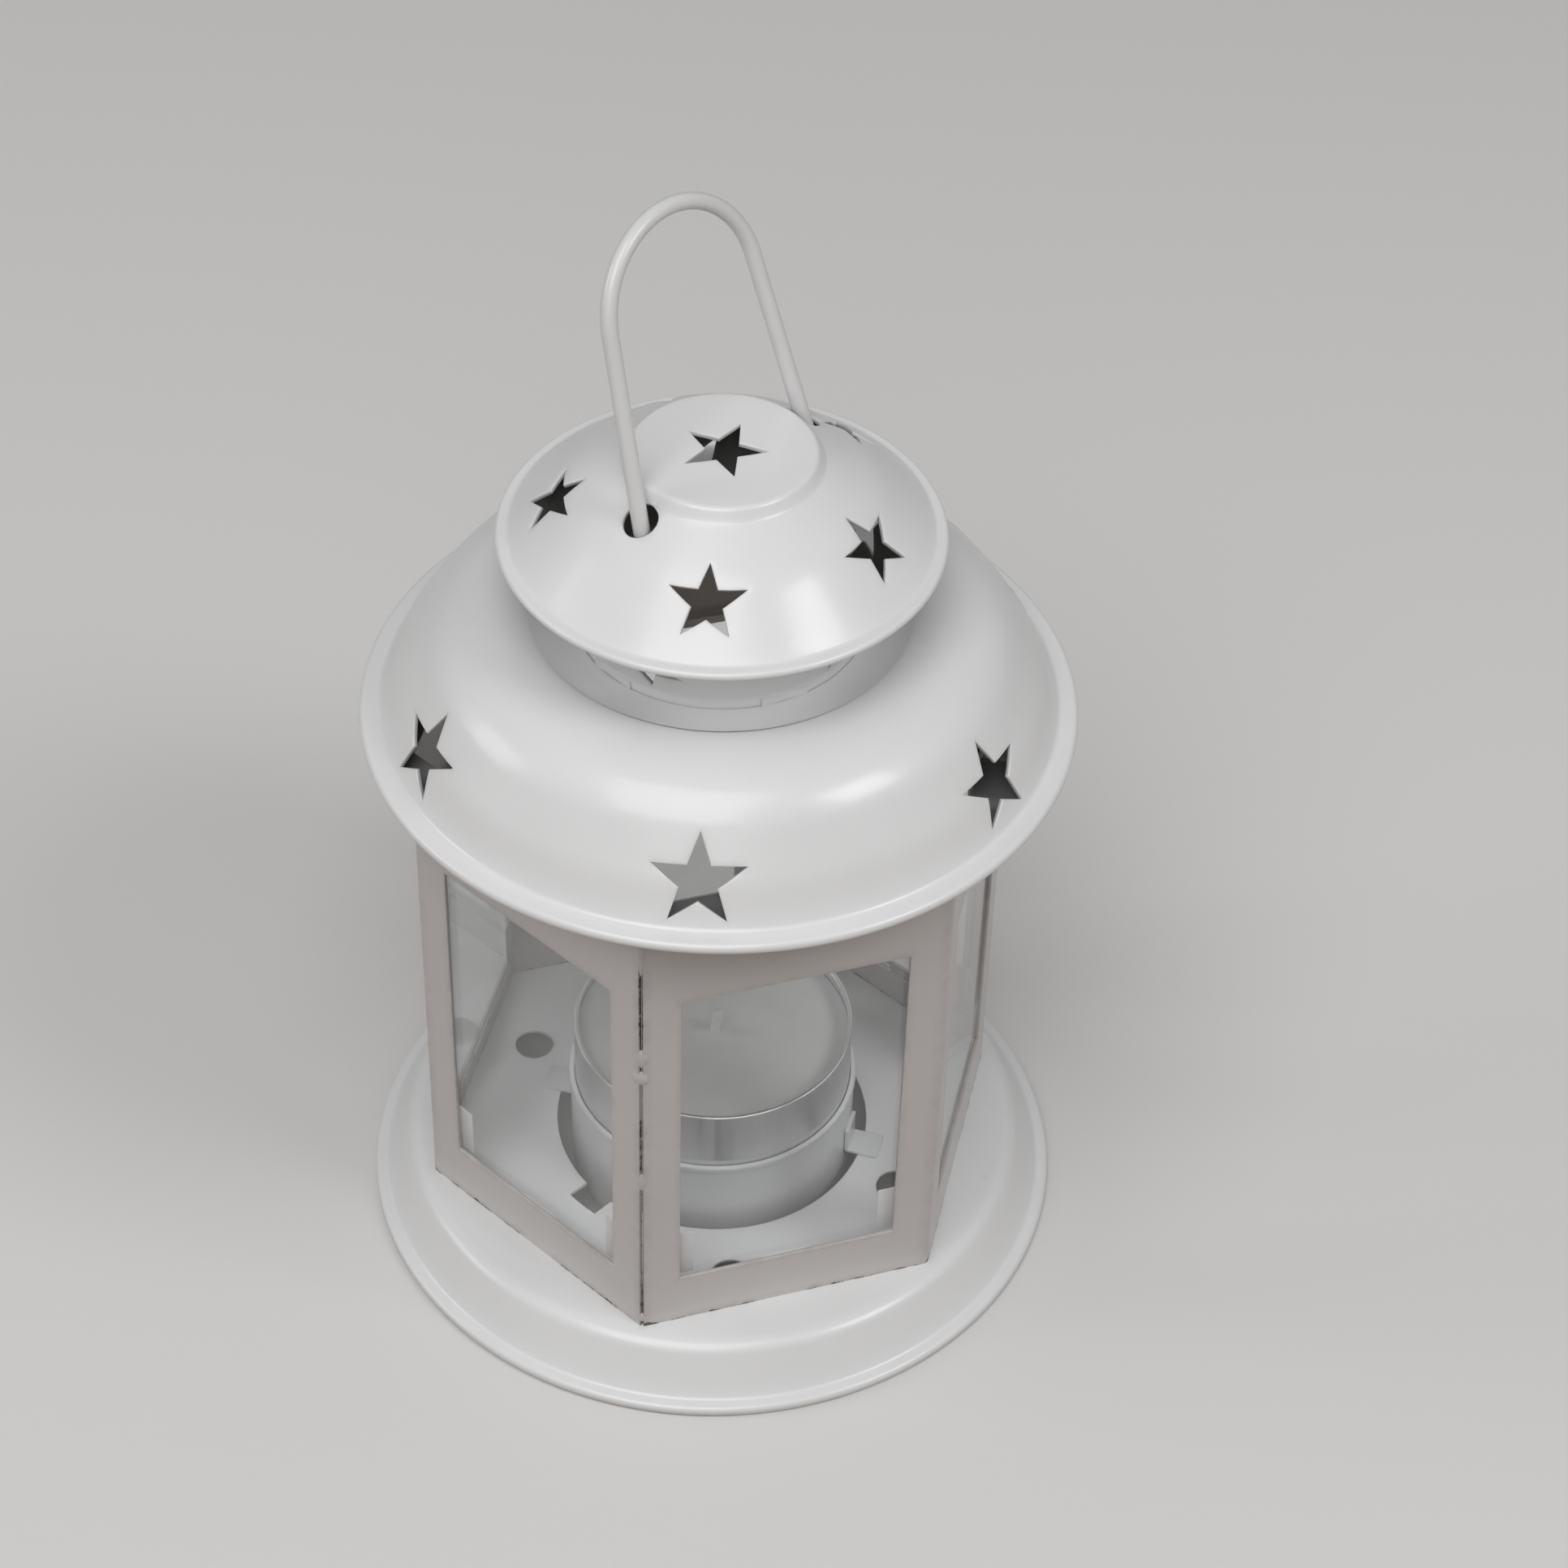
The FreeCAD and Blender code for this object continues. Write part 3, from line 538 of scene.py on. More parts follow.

# How worn the strip is: steel shows down the seam between the welds. Along its foot, dark chips
# are painted shade for the shadow line where the strip meets the base. The heights are above the
# table, and the higher the bareness, the more of the paint is gone.
seam_heights = [8, 12, 14, 34, 35, 37, 46, 48, 53, 55, 59, 60, 73, 75]
seam_bareness = [1.5, 1.5, 1.2, 1.1, 0.3, 1.5, 1.5, 0.9, 0.9, 1.3, 1.3, 1.6, 1.6, 0.5]
seam_bare_to, seam_bare_fade = 0.37, 0.14
seam_deep = 0.9
seam_wear = 0.6
fold_wear, fold_wear_deep, fold_wear_fade = 0.5, 0.7, 0.5
foot_shade, foot_shade_tall, foot_shade_fade = 1.3, 0.5, 0.2
# Near the window edges the paint is thinned and darkened: wear, and painted shade for the dark line along
# the sills.
edge_wear_and_shade = 0.8
across_seam, strip_y, strip_z = np.abs(strip[0][:, 0]), strip[0][:, 1], strip[0][:, 2]
seam_bare = np.interp(strip_z, seam_heights, seam_bareness) * (strip_y < seam_deep - body_corner)
seam_bare *= np.clip((seam_bare_to - across_seam) / seam_bare_fade, 0, 1)
seam_worn = seam_wear * np.exp(-np.hypot(across_seam, strip_y + body_corner) / wear_reach)
folds_out = np.hypot(across_seam, strip_y) - body_corner + fold_wear_deep
folds_worn = fold_wear * np.clip(folds_out / fold_wear_fade, 0, 1)
# Painted shade: dark chips along the strip's foot stand for the shadow line at the base.
foot_shade_chips = foot_shade * np.clip((body_bottom + foot_shade_tall - strip_z) / foot_shade_fade, 0, 1)
strip_wear_and_shade = np.maximum.reduce([edge_wear_and_shade * strip[2], seam_bare, seam_worn, folds_worn, foot_shade_chips])


def bent_strip(points, rounds, width, sheet, ease=0.09):
    """A flat strip bent along a run. Its section is a rectangle with eased corners, width by sheet,
    carried along the run with the sheet to the run's right. Gives loops of (first, width, second)."""
    places, right, _ = bent_run(points, rounds, 1.0)
    arc = np.radians([0, 45, 90])
    side = width / 2 - ease
    corner_w = np.concatenate([side + ease * np.cos(arc), -side - ease * np.sin(arc),
                               -side - ease * np.cos(arc), side + ease * np.sin(arc)])
    corner_d = np.concatenate([ease - ease * np.sin(arc), ease - ease * np.cos(arc),
                               sheet - ease + ease * np.sin(arc), sheet - ease + ease * np.cos(arc)])
    first = places[:, 0, None] + right[:, 0, None] * corner_d
    second = places[:, 1, None] + right[:, 1, None] * corner_d
    return np.stack([first, np.broadcast_to(corner_w, first.shape), second], -1)


def turned(points, degrees):
    """The points turned about Z."""
    a = math.radians(degrees)
    x, y, z = np.moveaxis(points, -1, 0)
    return np.stack([x * math.cos(a) - y * math.sin(a), x * math.sin(a) + y * math.cos(a), z], -1)


face_turns = -60 + 60 * np.arange(6)
tab_reach = 4.0
tab_width = 6.0
tab_overlap = 0.6
tab_wear = 0.3
foot_tab = bent_strip([(face_away, base_top + tab_overlap), (face_away, base_top - base_sheet),
                       (face_away + tab_reach, base_top - base_sheet)], [0.3], tab_width, body_sheet)
head_tab = bent_strip([(face_in, body_top - tab_overlap), (face_in, body_head),
                       (face_away + tab_reach, body_head)], [0.8], tab_width, body_sheet)
tabs = [closed_shell(turned(tab, turn), tab_wear) for turn in face_turns for tab in (foot_tab, head_tab)]
weld_depth = 0.42
weld_wear = 0.6


def weld_spot(height, length, width, stands):
    """A spot of weld at the seam: an ellipsoid, with points at sin and cos of the two angles. Three
    slight lobes round it make it uneven."""
    rows, sides, cap_angle = 12, 16, 0.15
    up, around = np.meshgrid(np.linspace(cap_angle, np.pi - cap_angle, rows),
                             np.arange(sides) * TURN / sides, indexing="ij")
    x = width * np.sin(up) * np.cos(around) * (1 + 0.15 * np.sin(3 * around + height))
    y = stands * np.sin(up) * np.sin(around)
    z = length * np.cos(up)
    return np.stack([x, y - body_corner + weld_depth, z + height], -1)


weld_sizes = [(35.6, 1.5, 0.70, 0.34), (54.4, 1.2, 0.95, 0.36), (57.8, 1.5, 0.75, 0.33),
              (77.5, 5.6, 0.55, 0.45), (9.6, 0.8, 0.5, 0.4)]
welds = [closed_shell(weld_spot(*size), weld_wear) for size in weld_sizes]
# The body's enamel is darker and warmer than the white of the roof and base: painted shade for its upright
# faces, and a painted warm reflection of the surroundings.
piece("body_enamelled", [(strip[0], strip[1], strip_wear_and_shade, strip[3])] + tabs + welds, "body_frame",
      enamel("body_enamel_painted_shade", (0.635, 0.605, 0.59), (0.40, 0.37, 0.355), 0.60, 0.8))

# The panes: six pieces of clear sheet glass, 1.2 mm thick, cut with a wheel and with eased edges.
# Each one stands behind its window and laps the posts and the rails.

pane_thick = 1.2
post_lap = 1.4
foot_lap = 1.5
head_lap = 1.9
pane_half = window_half + post_lap
pane_low = window_low - foot_lap
pane_high = window_high + head_lap


def glass_slab(half_width, low, high, thick, ease=0.12, corner=0.5):
    """A flat slab: a rectangle with small round corners, drawn in by the ease at both faces."""
    arc_points = 4
    turn = np.concatenate([np.linspace(k, k + 1, arc_points) * TURN / 4 for k in range(4)])
    corner_y = np.repeat([1, -1, -1, 1], arc_points) * (half_width - corner)
    corner_z = np.repeat([1, 1, -1, -1], arc_points) * ((high - low) / 2 - corner) + (low + high) / 2
    part = ease * 0.3
    loops = []
    for inset, depth in ((ease, 0), (part, part), (0, ease),
                         (0, thick - ease), (part, thick - part), (ease, thick)):
        radius = corner - inset
        loops.append(np.stack([np.full(len(turn), face_in - depth), corner_y + radius * np.cos(turn),
                               corner_z + radius * np.sin(turn)], 1))
    return np.stack(loops)


def window_glass():
    """Clear soda glass with a faint film: it lets shadow rays through, so that light reaches the
    candle, and its gloss is broken by smears and dust."""
    glass = material("window_glass")
    glass.put("Base Color", (0.975, 0.985, 0.98))
    glass.put("Transmission Weight", 1.0)
    glass.put("IOR", 1.5)
    glass.put("Roughness", glass.ranged(glass.noise(38, 5.0, 0.65), 0.45, 0.75, 0.0, 0.045))
    glass.put("Normal", glass.bumped(glass.noise(26, 1.0, 0.3), 0.02, 0.0004))
    clear = glass.node("ShaderNodeBsdfTransparent", "BSDF", {"Color": (0.935, 0.94, 0.94)})
    glass.blend(glass.rays("Shadow", "Diffuse"), clear)
    return glass.made


glass = window_glass()
slab = glass_slab(pane_half, pane_low, pane_high, pane_thick)
for number, turn in enumerate(face_turns, start=1):
    piece(f"pane_{number}", [closed_shell(turned(slab, turn))], f"glass_pane_{number}", glass,
          sharp=8.0)

# The clips: narrow strips of sheet, 0.4 mm thick, bent in a Z and spot-welded behind the posts and
# the rails. Their lips hold the panes at the lower corners, and at the middle of both rails.

clip_sheet = 0.4
clip_foot = 3.0
clip_play = 0.2
side_lip = 3.4
rail_lip = 1.0
side_clip_length = 7.5
rail_clip_length = 6.0


def clip(edge, lip, length):
    """A clip's strip in (place across the face, width, depth behind the wall): its foot lies on the
    wall, steps back past the pane's edge and lies on the pane."""
    run = [(edge - lip, pane_thick), (edge + clip_play, pane_thick), (edge + clip_play, 0.0),
           (edge + clip_foot, 0.0)]
    return bent_strip(run, [0.25, 0.45], length, clip_sheet)


clip_wear = 0.35
side_clips, rail_clips = [], []
for turn in face_turns:
    place, width, depth = np.moveaxis(clip(pane_half, side_lip, side_clip_length), -1, 0)
    for side in (-1, 1):
        placed = np.stack([face_in - depth, side * place, width + window_low + side_clip_length / 2], -1)
        side_clips.append(closed_shell(turned(placed, turn), clip_wear))
    place, width, depth = np.moveaxis(clip(0.0, rail_lip, rail_clip_length), -1, 0)
    for edge, way in ((pane_low, -1), (pane_high, 1)):
        placed = np.stack([face_in - depth, width, edge + way * place], -1)
        rail_clips.append(closed_shell(turned(placed, turn), clip_wear))
piece("side_clips", side_clips, "side_glass_clips", white)
piece("rail_clips", rail_clips, "rail_glass_clips", white)

# The roof: a steel bell, 0.5 mm thick, pressed over a round former and punched with six stars. Its
# rim is rolled round the ceiling plate, a flat ring that keeps its CAD shape. The plate's enamel
# is dark grey: painted shade for the dim hollow under the roof.

plate = frame["nodes"]["ceiling_plate"]
plate.data.materials.clear()
# Painted shade: the plate's dark grey tone stands for the shade inside the roof.
plate.data.materials.append(enamel("plate_painted_shade", (0.24, 0.24, 0.24), (0.2, 0.2, 0.2)))
roof_sheet = 0.5
roof_overhang = 5.1
roof_rise = 12.9
roof_lip_width = 2.5
roof_roll_width = 1.6
collar_radius = 17.5
collar_play = 0.05
seat_width = 3.05
shoulder_share, shoulder_rise = 0.46, 5.55
skirt_inset, skirt_rise = 2.1, 5.0
roof_foot = cad_size("roof")[1]
roof_radius = body_corner + roof_overhang
roof_lip_top = plate_top + roof_sheet
roof_seat = roof_lip_top + roof_rise
roof_lip = roof_radius - roof_lip_width
seat_edge = collar_radius + collar_play + seat_width
roof_shoulder = (seat_edge + (roof_lip - seat_edge) * shoulder_share, roof_seat + shoulder_rise)
roof_skirt = (roof_lip - skirt_inset, roof_lip_top + skirt_rise)
roof_run = bent_run(
    [(collar_radius + collar_play, roof_seat), (seat_edge, roof_seat), roof_shoulder, roof_skirt,
     (roof_lip, roof_lip_top), (roof_radius, roof_lip_top), (roof_radius, roof_foot),
     (roof_radius - roof_roll_width, roof_foot)],
    [11.0, 10.9, 15.0, 0.8, 0.72, 0.72], 1.0, 0.6)
star_height = roof_lip_top + 5.4
upper = np.arange(len(roof_run[2])) < np.argmax(roof_run[0][:, 0] > roof_lip - 0.01)
slope_rows = upper & (roof_run[0][:, 0] > roof_shoulder[0])
star_travel = np.interp(-star_height, -roof_run[0][slope_rows, 1], roof_run[2][slope_rows])
roof_stars = holes_around(star_edge(5.85), star_travel, -80 + 60 * np.arange(6), (6.3, 6.3, 6.4, 5.25))
roof_shell = punched_sheet(turned_sheet(roof_run), radius_along(roof_run), rows_inside(roof_run, roof_stars),
                           columns_around(1.0), roof_sheet, roof_stars)
piece("roof_enamelled", [roof_shell], "roof", white)

# The vent collar: a strip with five punched stars, rolled to a ring that widens towards the cap and
# butts at the back. Its tabs are folded out under the roof and in under the cap.

neck_sheet = 0.5
collar_low = cad_size("vent_collar")[1]
_, cap_foot, cap_top = cad_size("cap")
cap_overhang = 9.2
cap_lip_rise, cap_lip_width = 1.1, 1.4
knee_inset, knee_rise = 7.0, 6.1
cap_radius = collar_radius + cap_overhang
cap_lip_top = cap_foot + cap_lip_rise
cap_lip = cap_radius - cap_lip_width
cap_knee = (cap_lip - knee_inset, cap_lip_top + knee_rise)
cap_fall = knee_rise / knee_inset


def under_cap(radius):
    """Height of the cap's underside on its lower slope, less the collar's play."""
    return cap_lip_top + (cap_lip - radius) * cap_fall - neck_sheet * math.hypot(1, cap_fall) - collar_play


flare_width = 5.9
flare_foot_rise = 1.4
flare_round = 2.0
collar_top = (collar_radius + flare_width, under_cap(collar_radius + flare_width))
collar_bend = (collar_radius, roof_seat + flare_foot_rise)
flare = math.atan2(collar_top[0] - collar_bend[0], collar_top[1] - collar_bend[1])
collar_run = bent_run([collar_top, collar_bend, (collar_radius, collar_low)], [flare_round], 0.8)
collar_star_rise = 6.4
collar_star_travel = (collar_top[1] - roof_seat - collar_star_rise) / math.cos(flare)
collar_stars = holes_around(star_edge(5.0, 180), collar_star_travel, (-103.5, -31.0, 41.0, 113.0, 185.0),
                            (5.4, 5.4, 4.6, 5.5))
collar_surface = turned_sheet(collar_run, dents=0.015)
butt_angle = math.radians(150)
butt_depth = 0.3
butt_half = 0.006


def butted(a, b, depth):
    """The collar's ring with its butt joint, a narrow groove in the outer face at the back."""
    away = (b - butt_angle + TURN / 2) % TURN - TURN / 2
    groove = butt_depth * np.exp(-(away / butt_half) ** 2)
    return collar_surface(a, b, depth + groove * (depth < neck_sheet / 2))


columns = with_marks(columns_around(2.0), butt_angle + np.linspace(-5, 5, 13) * butt_half, 0.004)
collar_shell = punched_sheet(butted, radius_along(collar_run), rows_inside(collar_run, collar_stars),
                             columns, neck_sheet, collar_stars)
neck_tab_reach = 2.3
neck_tab_overlap = 2.0
tab_tip = collar_top[0] - neck_tab_reach
tab_root = (collar_top[0] - neck_tab_overlap * math.sin(flare),
            collar_top[1] - neck_tab_overlap * math.cos(flare))
foot = bent_strip([(collar_radius, collar_low + neck_tab_overlap), (collar_radius, collar_low + neck_sheet),
                   (collar_radius + neck_tab_reach, collar_low + neck_sheet)], [0.3], tab_width, neck_sheet)
head = bent_strip([(tab_tip, under_cap(tab_tip)), collar_top, tab_root], [0.7], tab_width, neck_sheet)
tabs = [closed_shell(turned(tab, turn), tab_wear) for turn in 21 + 72 * np.arange(5) for tab in (foot, head)]
piece("collar_enamelled", [collar_shell] + tabs, "vent_collar", white)

# The cap: a small steel dome pressed with a raised flat disc, punched with a star on the disc, five
# stars on its slope, and two round holes for the bail. Its rim is rolled under.

disc_radius = collar_radius - 6.5
step_width, step_drop = 0.9, 1.5
cap_roll_width = 1.1
star_start = 1.0
cap_run = bent_run(
    [(star_start, cap_top), (disc_radius, cap_top), (disc_radius + step_width, cap_top - step_drop),
     cap_knee, (cap_lip, cap_lip_top), (cap_radius, cap_lip_top), (cap_radius, cap_foot),
     (cap_radius - cap_roll_width, cap_foot)],
    [0.8, 0.8, 20.0, 0.8, 0.54, 0.54], 0.9)
top_edge, top_corners = star_edge(5.3, 9.4 - 90)


def cap_place(radius):
    """Distance along the cap's run at which its upper face has this radius."""
    outward = np.arange(len(cap_run[2])) <= np.argmax(cap_run[0][:, 0])
    return np.interp(radius, cap_run[0][outward, 0], cap_run[2][outward])


def top_star_start(b):
    """How far the run's first edge moves out from where it starts, to the top star's edge."""
    return top_edge(b) - star_start


# A bail hole is square to the slope here and upright in the solid, so it is wider here to clear the
# wire over its whole swing. The blocks of the holes and the stars stay apart.
bail_hole_radius = 2.17
cap_holes = holes_around(star_edge(4.7), cap_place(cap_radius - 6.9), (-81.5, -14.0, 56.0, 126.0, 196.0),
                         (5.1, 5.1, 4.86, 4.3))
cap_holes += holes_around(round_hole(bail_hole_radius), cap_place(collar_radius - 3.7), (60.0, 240.0),
                          (2.5, 2.5, 2.32, 2.32))
columns = with_marks(columns_around(1.2), top_corners, 0.008)
cap_shell = punched_sheet(turned_sheet(cap_run, top_star_start, cap_place(9.0), 0.02), radius_along(cap_run),
                          rows_inside(cap_run, cap_holes), columns, neck_sheet, cap_holes)
piece("cap_enamelled", [cap_shell], "cap", white)

# The bail: one length of 2 mm steel wire, bent round a bar to an arch with two straight legs. The
# ends go down through the cap's holes and are hooked inwards. It is enamelled before it goes in.

swing = next(joint for joint in frame["joints"] if joint["name"] == "bail_swing")
pivot = np.array(swing["pos_m"]) / MM
axis = np.array(swing["axis"]) / np.linalg.norm(swing["axis"])
lean = math.radians(17.4)
foot_away = collar_radius - 3.8
arch_radius = 11.6
bail_height = 32.7
hook_drop, hook_length, hook_round = 3.2, 4.6, 1.7
arch_centre = bail_height - arch_radius
leg_angle = math.atan2(arch_centre, -foot_away) - math.asin(arch_radius / math.hypot(foot_away, arch_centre))
leg_tan = math.sin(leg_angle) / math.cos(leg_angle)
corner_away = foot_away - hook_drop / leg_tan
apex = -foot_away * leg_tan
wire_run = bent_run([(corner_away - hook_length, -hook_drop), (corner_away, -hook_drop), (0, apex),
                     (-corner_away, -hook_drop), (-corner_away + hook_length, -hook_drop)],
                    [hook_round, arch_radius, hook_round], 0.9, 0.5)


def wire(run, radius, sides=20):
    """A round wire along a flat run, with round ends: the end circles shrink with the sine of the
    angle while they move out by its cosine. Points are (across, out of the plane, up)."""
    places, right, _ = run
    along = np.stack([-right[:, 1], right[:, 0]], 1)
    arc = np.linspace(0, TURN / 4, 6)[1:]
    head = places[0] - radius * np.sin(arc[::-1, None]) * along[0]
    tail = places[-1] + radius * np.sin(arc[:, None]) * along[-1]
    centres = np.concatenate([head, places, tail])
    normals = np.concatenate([np.tile(right[0], (len(arc), 1)), right, np.tile(right[-1], (len(arc), 1))])
    size = np.concatenate([np.cos(arc[::-1]), np.ones(len(places)), np.cos(arc)]) * radius
    size = np.maximum(size, radius * 0.02)
    theta = np.arange(sides) * TURN / sides
    across = centres[:, 0, None] + size[:, None] * normals[:, 0, None] * np.cos(theta)
    up = centres[:, 1, None] + size[:, None] * normals[:, 1, None] * np.cos(theta)
    out = size[:, None] * np.sin(theta)
    return np.stack([across, np.broadcast_to(out, up.shape), up], -1)


wire_radius = 1.0
wire_worn_to, wire_wear = 2.5, 0.8
across, out, up = np.moveaxis(wire(wire_run, wire_radius), -1, 0)
leaning_up = np.array([math.sin(lean) * -axis[1], math.sin(lean) * axis[0], math.cos(lean)])
square = np.cross(axis, leaning_up)
bail_loops = pivot + across[..., None] * axis + up[..., None] * leaning_up - out[..., None] * square
bail_shell = closed_shell(bail_loops)
bail_shell[2][:up.size] = np.clip((wire_worn_to - up.ravel()) / wire_worn_to, 0, 1) * wire_wear
piece("bail_wire", [bail_shell], "bail_handle",
      enamel("wire_enamel", (0.76, 0.755, 0.75), (0.55, 0.53, 0.52), 0.62), "bail")

# The candle cup: a steel cup with a beaded rim, enamelled white. Two lugs welded to its wall lie on
# the base beside the hole. A turn brings them over the notches, and the cup drops out below.

_, cup_low, cup_high = cad_size("candle_cup")
cup_radius = 18.7
cup_wall = 0.4
cup_in = cup_radius - cup_wall
cup_floor = cup_low + cup_wall
bead_in, bead_out = cup_radius - 0.52, cup_radius + 0.22
bead_low = cup_high - 0.85
bead_neck = cup_high - 1.1


def turned_solid(points, rounds, columns=180, step=1.0):
    """A solid of revolution: a run that starts and ends on the axis is turned about Z, and each end
    closes in one point."""
    places = bent_run(points, rounds, step, 0.2)[0]
    b = np.arange(columns) * TURN / columns
    ring = places[1:-1]
    return closed_shell(np.stack([ring[:, 0, None] * np.cos(b), ring[:, 0, None] * np.sin(b),
                                  np.broadcast_to(ring[:, 1, None], (len(ring), columns))], -1))


cup_shell = turned_solid(
    [(0, cup_floor), (cup_in, cup_floor), (cup_in, bead_neck), (bead_in, bead_low),
     (bead_in, cup_high), (bead_out, cup_high), (bead_out, bead_low), (cup_radius, bead_neck),
     (cup_radius, cup_low), (0, cup_low)],
    [1.2, 0.25, 0.25, 0.34, 0.34, 0.25, 0.25, 1.6])
lug_play = 0.1
lug_reach = 2.6
lug_tall = 4.0
lug_width = 4.0
lug_sheet = 0.5
lug_base = base_top + lug_play
lug = bent_strip([(cup_hole + lug_reach, lug_base), (cup_radius, lug_base),
                  (cup_radius, lug_base + lug_tall)], [0.7], lug_width, lug_sheet)
lugs = [closed_shell(turned(lug, turn), 0.4) for turn in (-2, 178)]
piece("cup_enamelled", [cup_shell] + lugs, "candle_cup",
      enamel("cup_enamel", (0.76, 0.76, 0.77), (0.60, 0.59, 0.59)), "cup")

# The tealight: a drawn aluminium case with a curled rim, filled with white wax that has drawn up at
# its wall and at the wick. The cotton wick stands in a tinned foot, which keeps its CAD shape.

_, case_low, case_high = cad_size("tealight_case")
case_radius = 18.1
case_wall = 0.2
case_in, case_floor = case_radius - case_wall, case_low + case_wall
curl_in, curl_out = case_radius - 0.55, case_radius + 0.03
case_shell = turned_solid(
    [(0, case_floor), (case_in, case_floor), (case_in, case_high - 0.65), (curl_in, case_high - 0.5),
     (curl_in, case_high), (curl_out, case_high), (case_radius, case_high - 0.6), (case_radius, case_low),
     (0, case_low)],
    [1.0, 0.15, 0.15, 0.22, 0.22, 0.4, 1.2])


def drawn_aluminium():
    """Satin aluminium: draw marks run up the wall, so the noise is squeezed along Z."""
    metal = material("drawn_aluminium")
    place = metal.node("ShaderNodeTexCoord", "Object", {})
    squeezed = metal.node("ShaderNodeMapping", "Vector", {"Vector": place, "Scale": (1800, 1800, 60)})
    marks = metal.node("ShaderNodeTexNoise", "Fac", {"Vector": squeezed, "Scale": 1.0, "Detail": 3.0})
    metal.put("Metallic", 1.0)
    metal.put("Base Color", metal.mixed(marks, (0.68, 0.68, 0.69), (0.80, 0.80, 0.81)))
    metal.put("Roughness", metal.ranged(marks, 0.3, 0.7, 0.30, 0.44))
    metal.put("Normal", metal.bumped(marks, 0.25, 0.00004))
    return metal.made


piece("tealight_case_drawn", [case_shell], "tealight_case", drawn_aluminium(), "candle")

_, wax_low, wax_high = cad_size("candle_wax")
wax_radius = 17.85
wax_solid = turned_solid(
    [(0, wax_high + 0.25), (0.9, wax_high + 0.2), (2.8, wax_high - 0.12), (12.0, wax_high - 0.2),
     (16.6, wax_high - 0.1), (wax_radius, wax_high + 0.35), (wax_radius, wax_low), (0, wax_low)],
    [0.6, 2.0, 8.0, 3.0, 0.1, 1.2])


def paraffin():
    """White wax: light goes a few millimetres in, and the skin is faintly mottled and dull."""
    wax = material("paraffin_wax")
    mottle = wax.noise(130, 4.0, 0.55)
    mottled = wax.ranged(mottle, 0.35, 0.7, 0, 1)
    wax.put("Base Color", wax.mixed(mottled, (0.83, 0.825, 0.81), (0.77, 0.765, 0.75)))
    wax.put("Subsurface Weight", 0.35)
    wax.put("Subsurface Radius", (1.0, 0.9, 0.75))
    wax.put("Subsurface Scale", 0.003)
    wax.put("Roughness", wax.ranged(wax.noise(260), 0.3, 0.7, 0.34, 0.5))
    wax.put("Normal", wax.bumped(mottle, 0.2, 0.0002))
    return wax.made


piece("wax_fill", [wax_solid], "candle_wax", paraffin(), "candle")

_, wick_low, wick_high = cad_size("candle_wick")


def braided_wick(low, high, radius, sides=24):
    """A braided cord: its radius dips where two sets of three strands, winding both ways at 2.2 mm a
    turn, cross, and its top leans over by 0.5 mm. The top closes in a small dome."""
    rise = np.linspace(0, 1, 120)
    theta = np.arange(sides) * TURN / sides
    z = low + (high - low) * rise
    taper = np.sqrt(np.clip((1.004 - rise) / 0.03, 0.02, 1))
    winding = TURN * z[:, None] / 2.2
    strands = np.maximum(np.cos(3 * theta + winding), np.cos(3 * theta - winding))
    size = radius * taper[:, None] * (0.9 + 0.1 * strands)
    lean = 0.5 * np.clip((z - wax_high) / (high - wax_high), 0, 1) ** 2
    return closed_shell(np.stack([lean[:, None] + size * np.cos(theta), size * np.sin(theta),
                                  np.broadcast_to(z[:, None], size.shape)], -1))


def cotton():
    """Waxed cotton: off-white, rough, with fine fibres as bump."""
    cord = material("waxed_cotton")
    fibre = cord.noise(5200, 2.0, 0.6)
    cord.put("Base Color", cord.mixed(fibre, (0.80, 0.785, 0.76), (0.88, 0.87, 0.84)))
    cord.put("Roughness", 0.75)
    cord.put("Sheen Weight", 0.2)
    cord.put("Normal", cord.bumped(fibre, 0.5, 0.0001))
    return cord.made


wick = braided_wick(wick_low, wick_high, 0.72)
piece("wick_braid", [wick], "candle_wick", cotton(), "candle")


def tinned_steel():
    """Tinned steel: dull silver with a fine crystal mottle."""
    metal = material("tinned_steel")
    grain = metal.noise(900)
    metal.put("Metallic", 1.0)
    metal.put("Base Color", metal.mixed(grain, (0.52, 0.52, 0.53), (0.66, 0.66, 0.66)))
    metal.put("Roughness", metal.ranged(grain, 0.3, 0.7, 0.3, 0.45))
    return metal.made


foot = frame["nodes"]["wick_sustainer"]
foot.data.materials.clear()
foot.data.materials.append(tinned_steel())

# The stage: a plain pale floor and surround, a large soft key lamp, a lamp from each side and a weak
# one in front. The floor bounces less light than the camera sees in it, so the lantern's upright
# faces stay in soft shade. Far off it fades into the surround, so no horizon shows.

backdrop = (0.50, 0.495, 0.485)
fade_from, fade_to = 0.45, 1.4


def stage_material(name, seen, bounced):
    """A matt floor whose colour is pale for the camera, for gloss and through glass, and darker
    for the light that it throws back. It fades into the backdrop with distance."""
    matt = material(name)
    matt.put("Base Color", matt.mixed(matt.rays("Camera", "Transmission", "Glossy"), bounced, seen))
    matt.put("Roughness", 0.9)
    matt.put("Specular IOR Level", 0.1)
    place = matt.node("ShaderNodeNewGeometry", "Position", {})
    away = matt.node("ShaderNodeVectorMath", "Value", {0: place}, operation="LENGTH")
    faded = matt.maths("MULTIPLY", matt.rays("Camera", "Transmission"),
                       matt.ranged(away, fade_from, fade_to, 0, 1))
    matt.blend(faded, matt.node("ShaderNodeEmission", "Emission", {"Color": backdrop}))
    matt.made.cycles.emission_sampling = "NONE"
    return matt.made


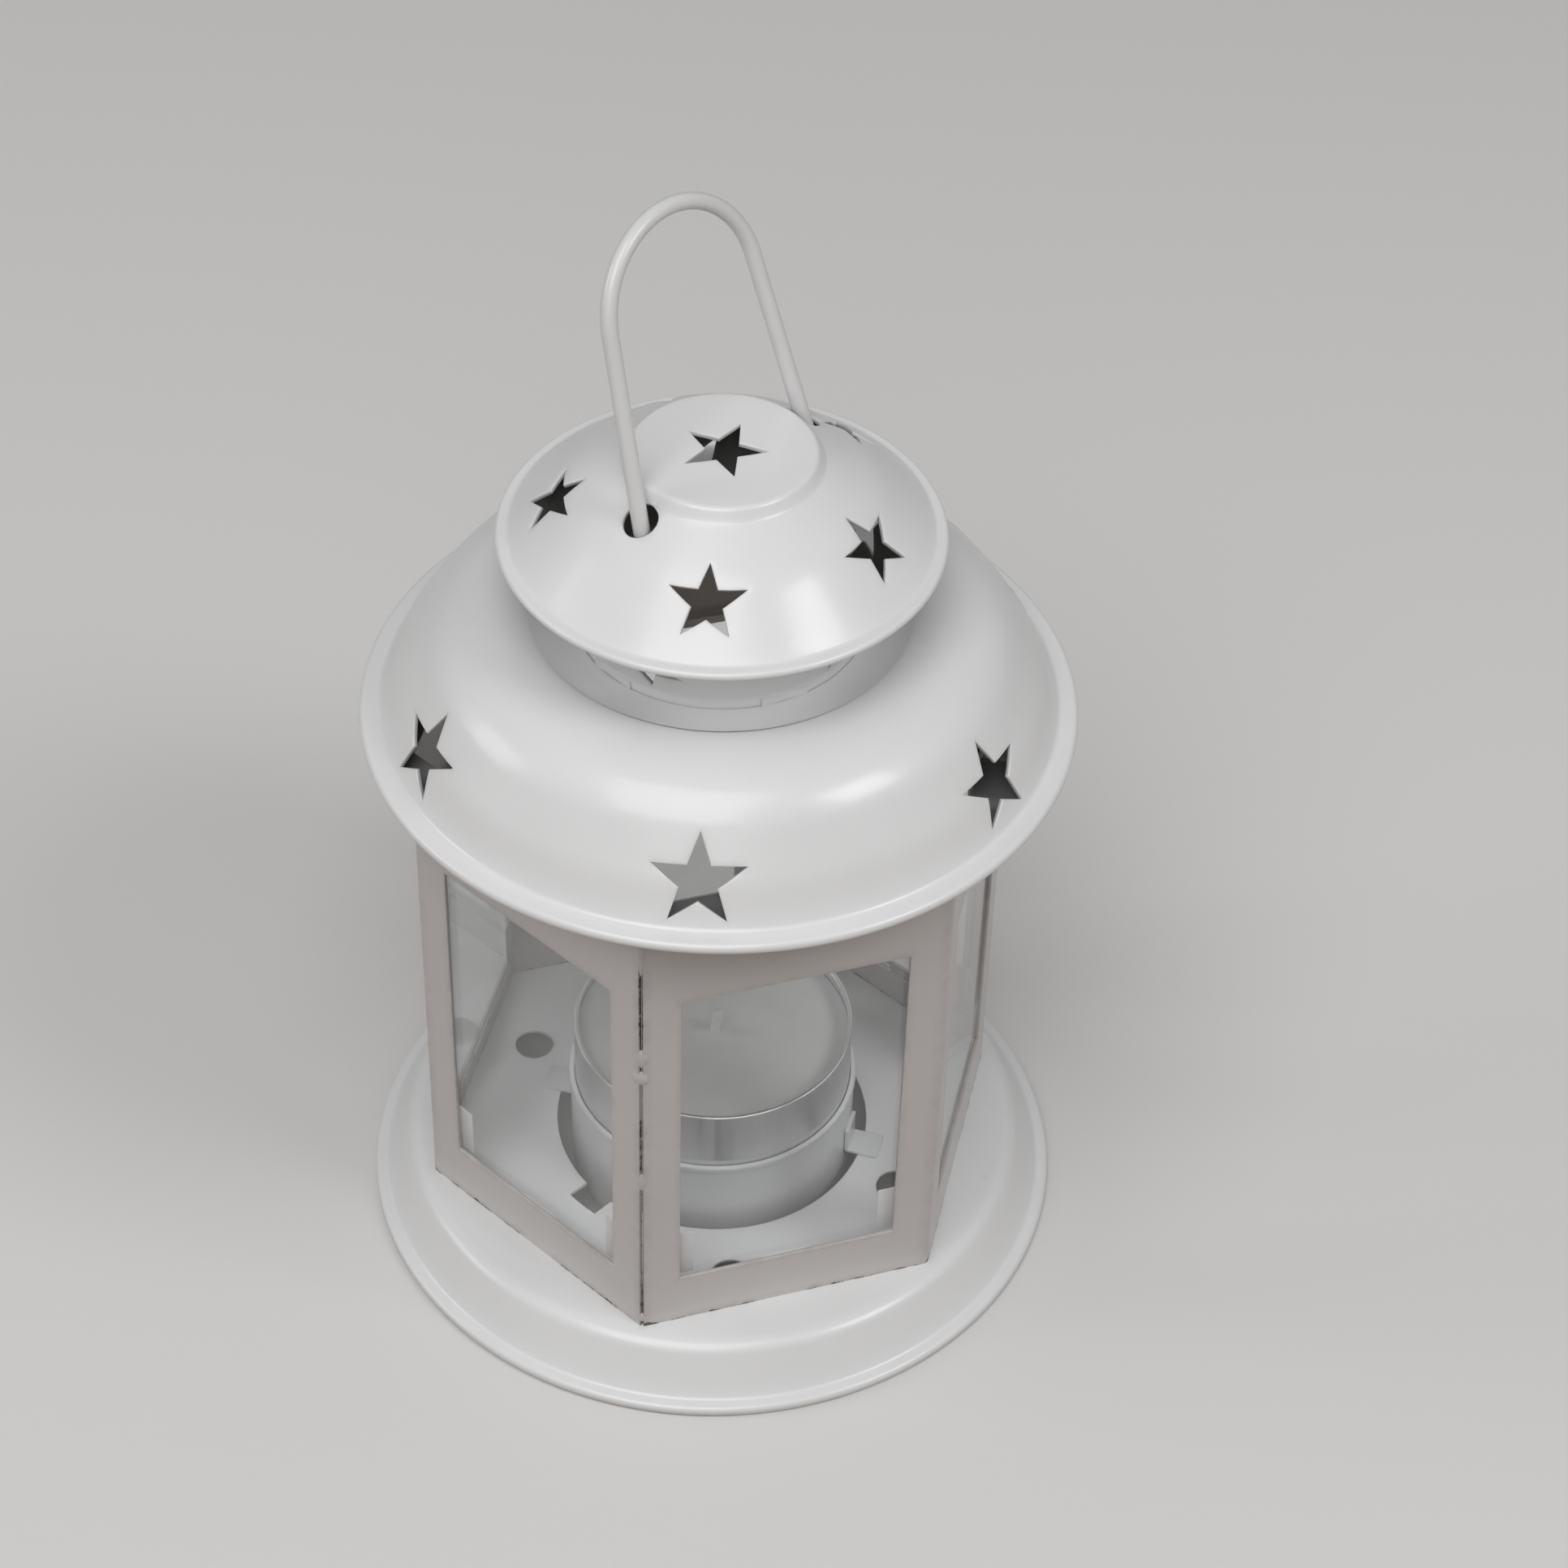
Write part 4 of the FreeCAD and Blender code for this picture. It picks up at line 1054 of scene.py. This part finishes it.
floor_mesh = bpy.data.meshes.new("floor")
floor_half = 9.0
floor_corners = [(x * floor_half, y * floor_half, 0) for x, y in ((-1, -1), (1, -1), (1, 1), (-1, 1))]
floor_mesh.from_pydata(floor_corners, [], [(0, 1, 2, 3)])
floor_mesh.materials.append(stage_material("floor_matt", (0.76, 0.75, 0.74), (0.25, 0.205, 0.17)))
floor = bpy.data.objects.new("floor", floor_mesh)
bpy.context.scene.collection.objects.link(floor)


lamp_aim = (0, 0, 0.08)


def lamp(name, place, size, power):
    """A square soft lamp that points from its place at the lantern."""
    light = bpy.data.lights.new(name, "AREA")
    light.size = size
    light.energy = power
    made = bpy.data.objects.new(name, light)
    bpy.context.scene.collection.objects.link(made)
    back = np.array(place) - np.array(lamp_aim)
    made.location = place
    made.rotation_euler = (math.atan2(math.hypot(back[0], back[1]), back[2]), 0,
                           math.atan2(back[1], back[0]) + math.pi / 2)


lamp("key", (-0.05, -0.66, 1.12), 0.85, 7.0)
lamp("left_window", (-1.12, -0.30, 0.62), 0.45, 2.1)
lamp("right_window", (0.95, -0.28, 1.05), 0.45, 4.4)
lamp("front", (0.10, -0.95, 0.62), 0.6, 0.7)

world = bpy.data.worlds.new("surround")
bpy.context.scene.world = world
sky = Finish(world, "Background", "World Output")
sky.put("Color", (0.80, 0.80, 0.81))
sky.put("Strength", 0.26)
sky.blend(sky.rays("Camera", "Transmission"), sky.node("ShaderNodeBackground", 0, {"Color": backdrop}))

# The camera: where the photographer stood, looking down at the lantern at 42 degrees, with a slight
# roll. The lens sees the whole square frame with no shift.

heading, pitch, roll = math.radians(101.66), math.radians(42.461), math.radians(1.838)
lens = bpy.data.cameras.new("photo_view")
lens.sensor_width = 36.0
focal_pixels, photo_pixels = 4499.58, 1932
lens.lens = focal_pixels / photo_pixels * lens.sensor_width
lens.clip_start, lens.clip_end = 0.02, 20.0
camera = bpy.data.objects.new("photo_view", lens)
bpy.context.scene.collection.objects.link(camera)
camera.matrix_world = (Matrix.Translation(Vector((76.13, -328.21, 376.87)) * MM)
                       @ Matrix.Rotation(heading - TURN / 4, 4, "Z")
                       @ Matrix.Rotation(TURN / 4 - pitch, 4, "X") @ Matrix.Rotation(roll, 4, "Z"))
bpy.context.scene.camera = camera
bpy.context.scene.view_settings.view_transform = "Standard"
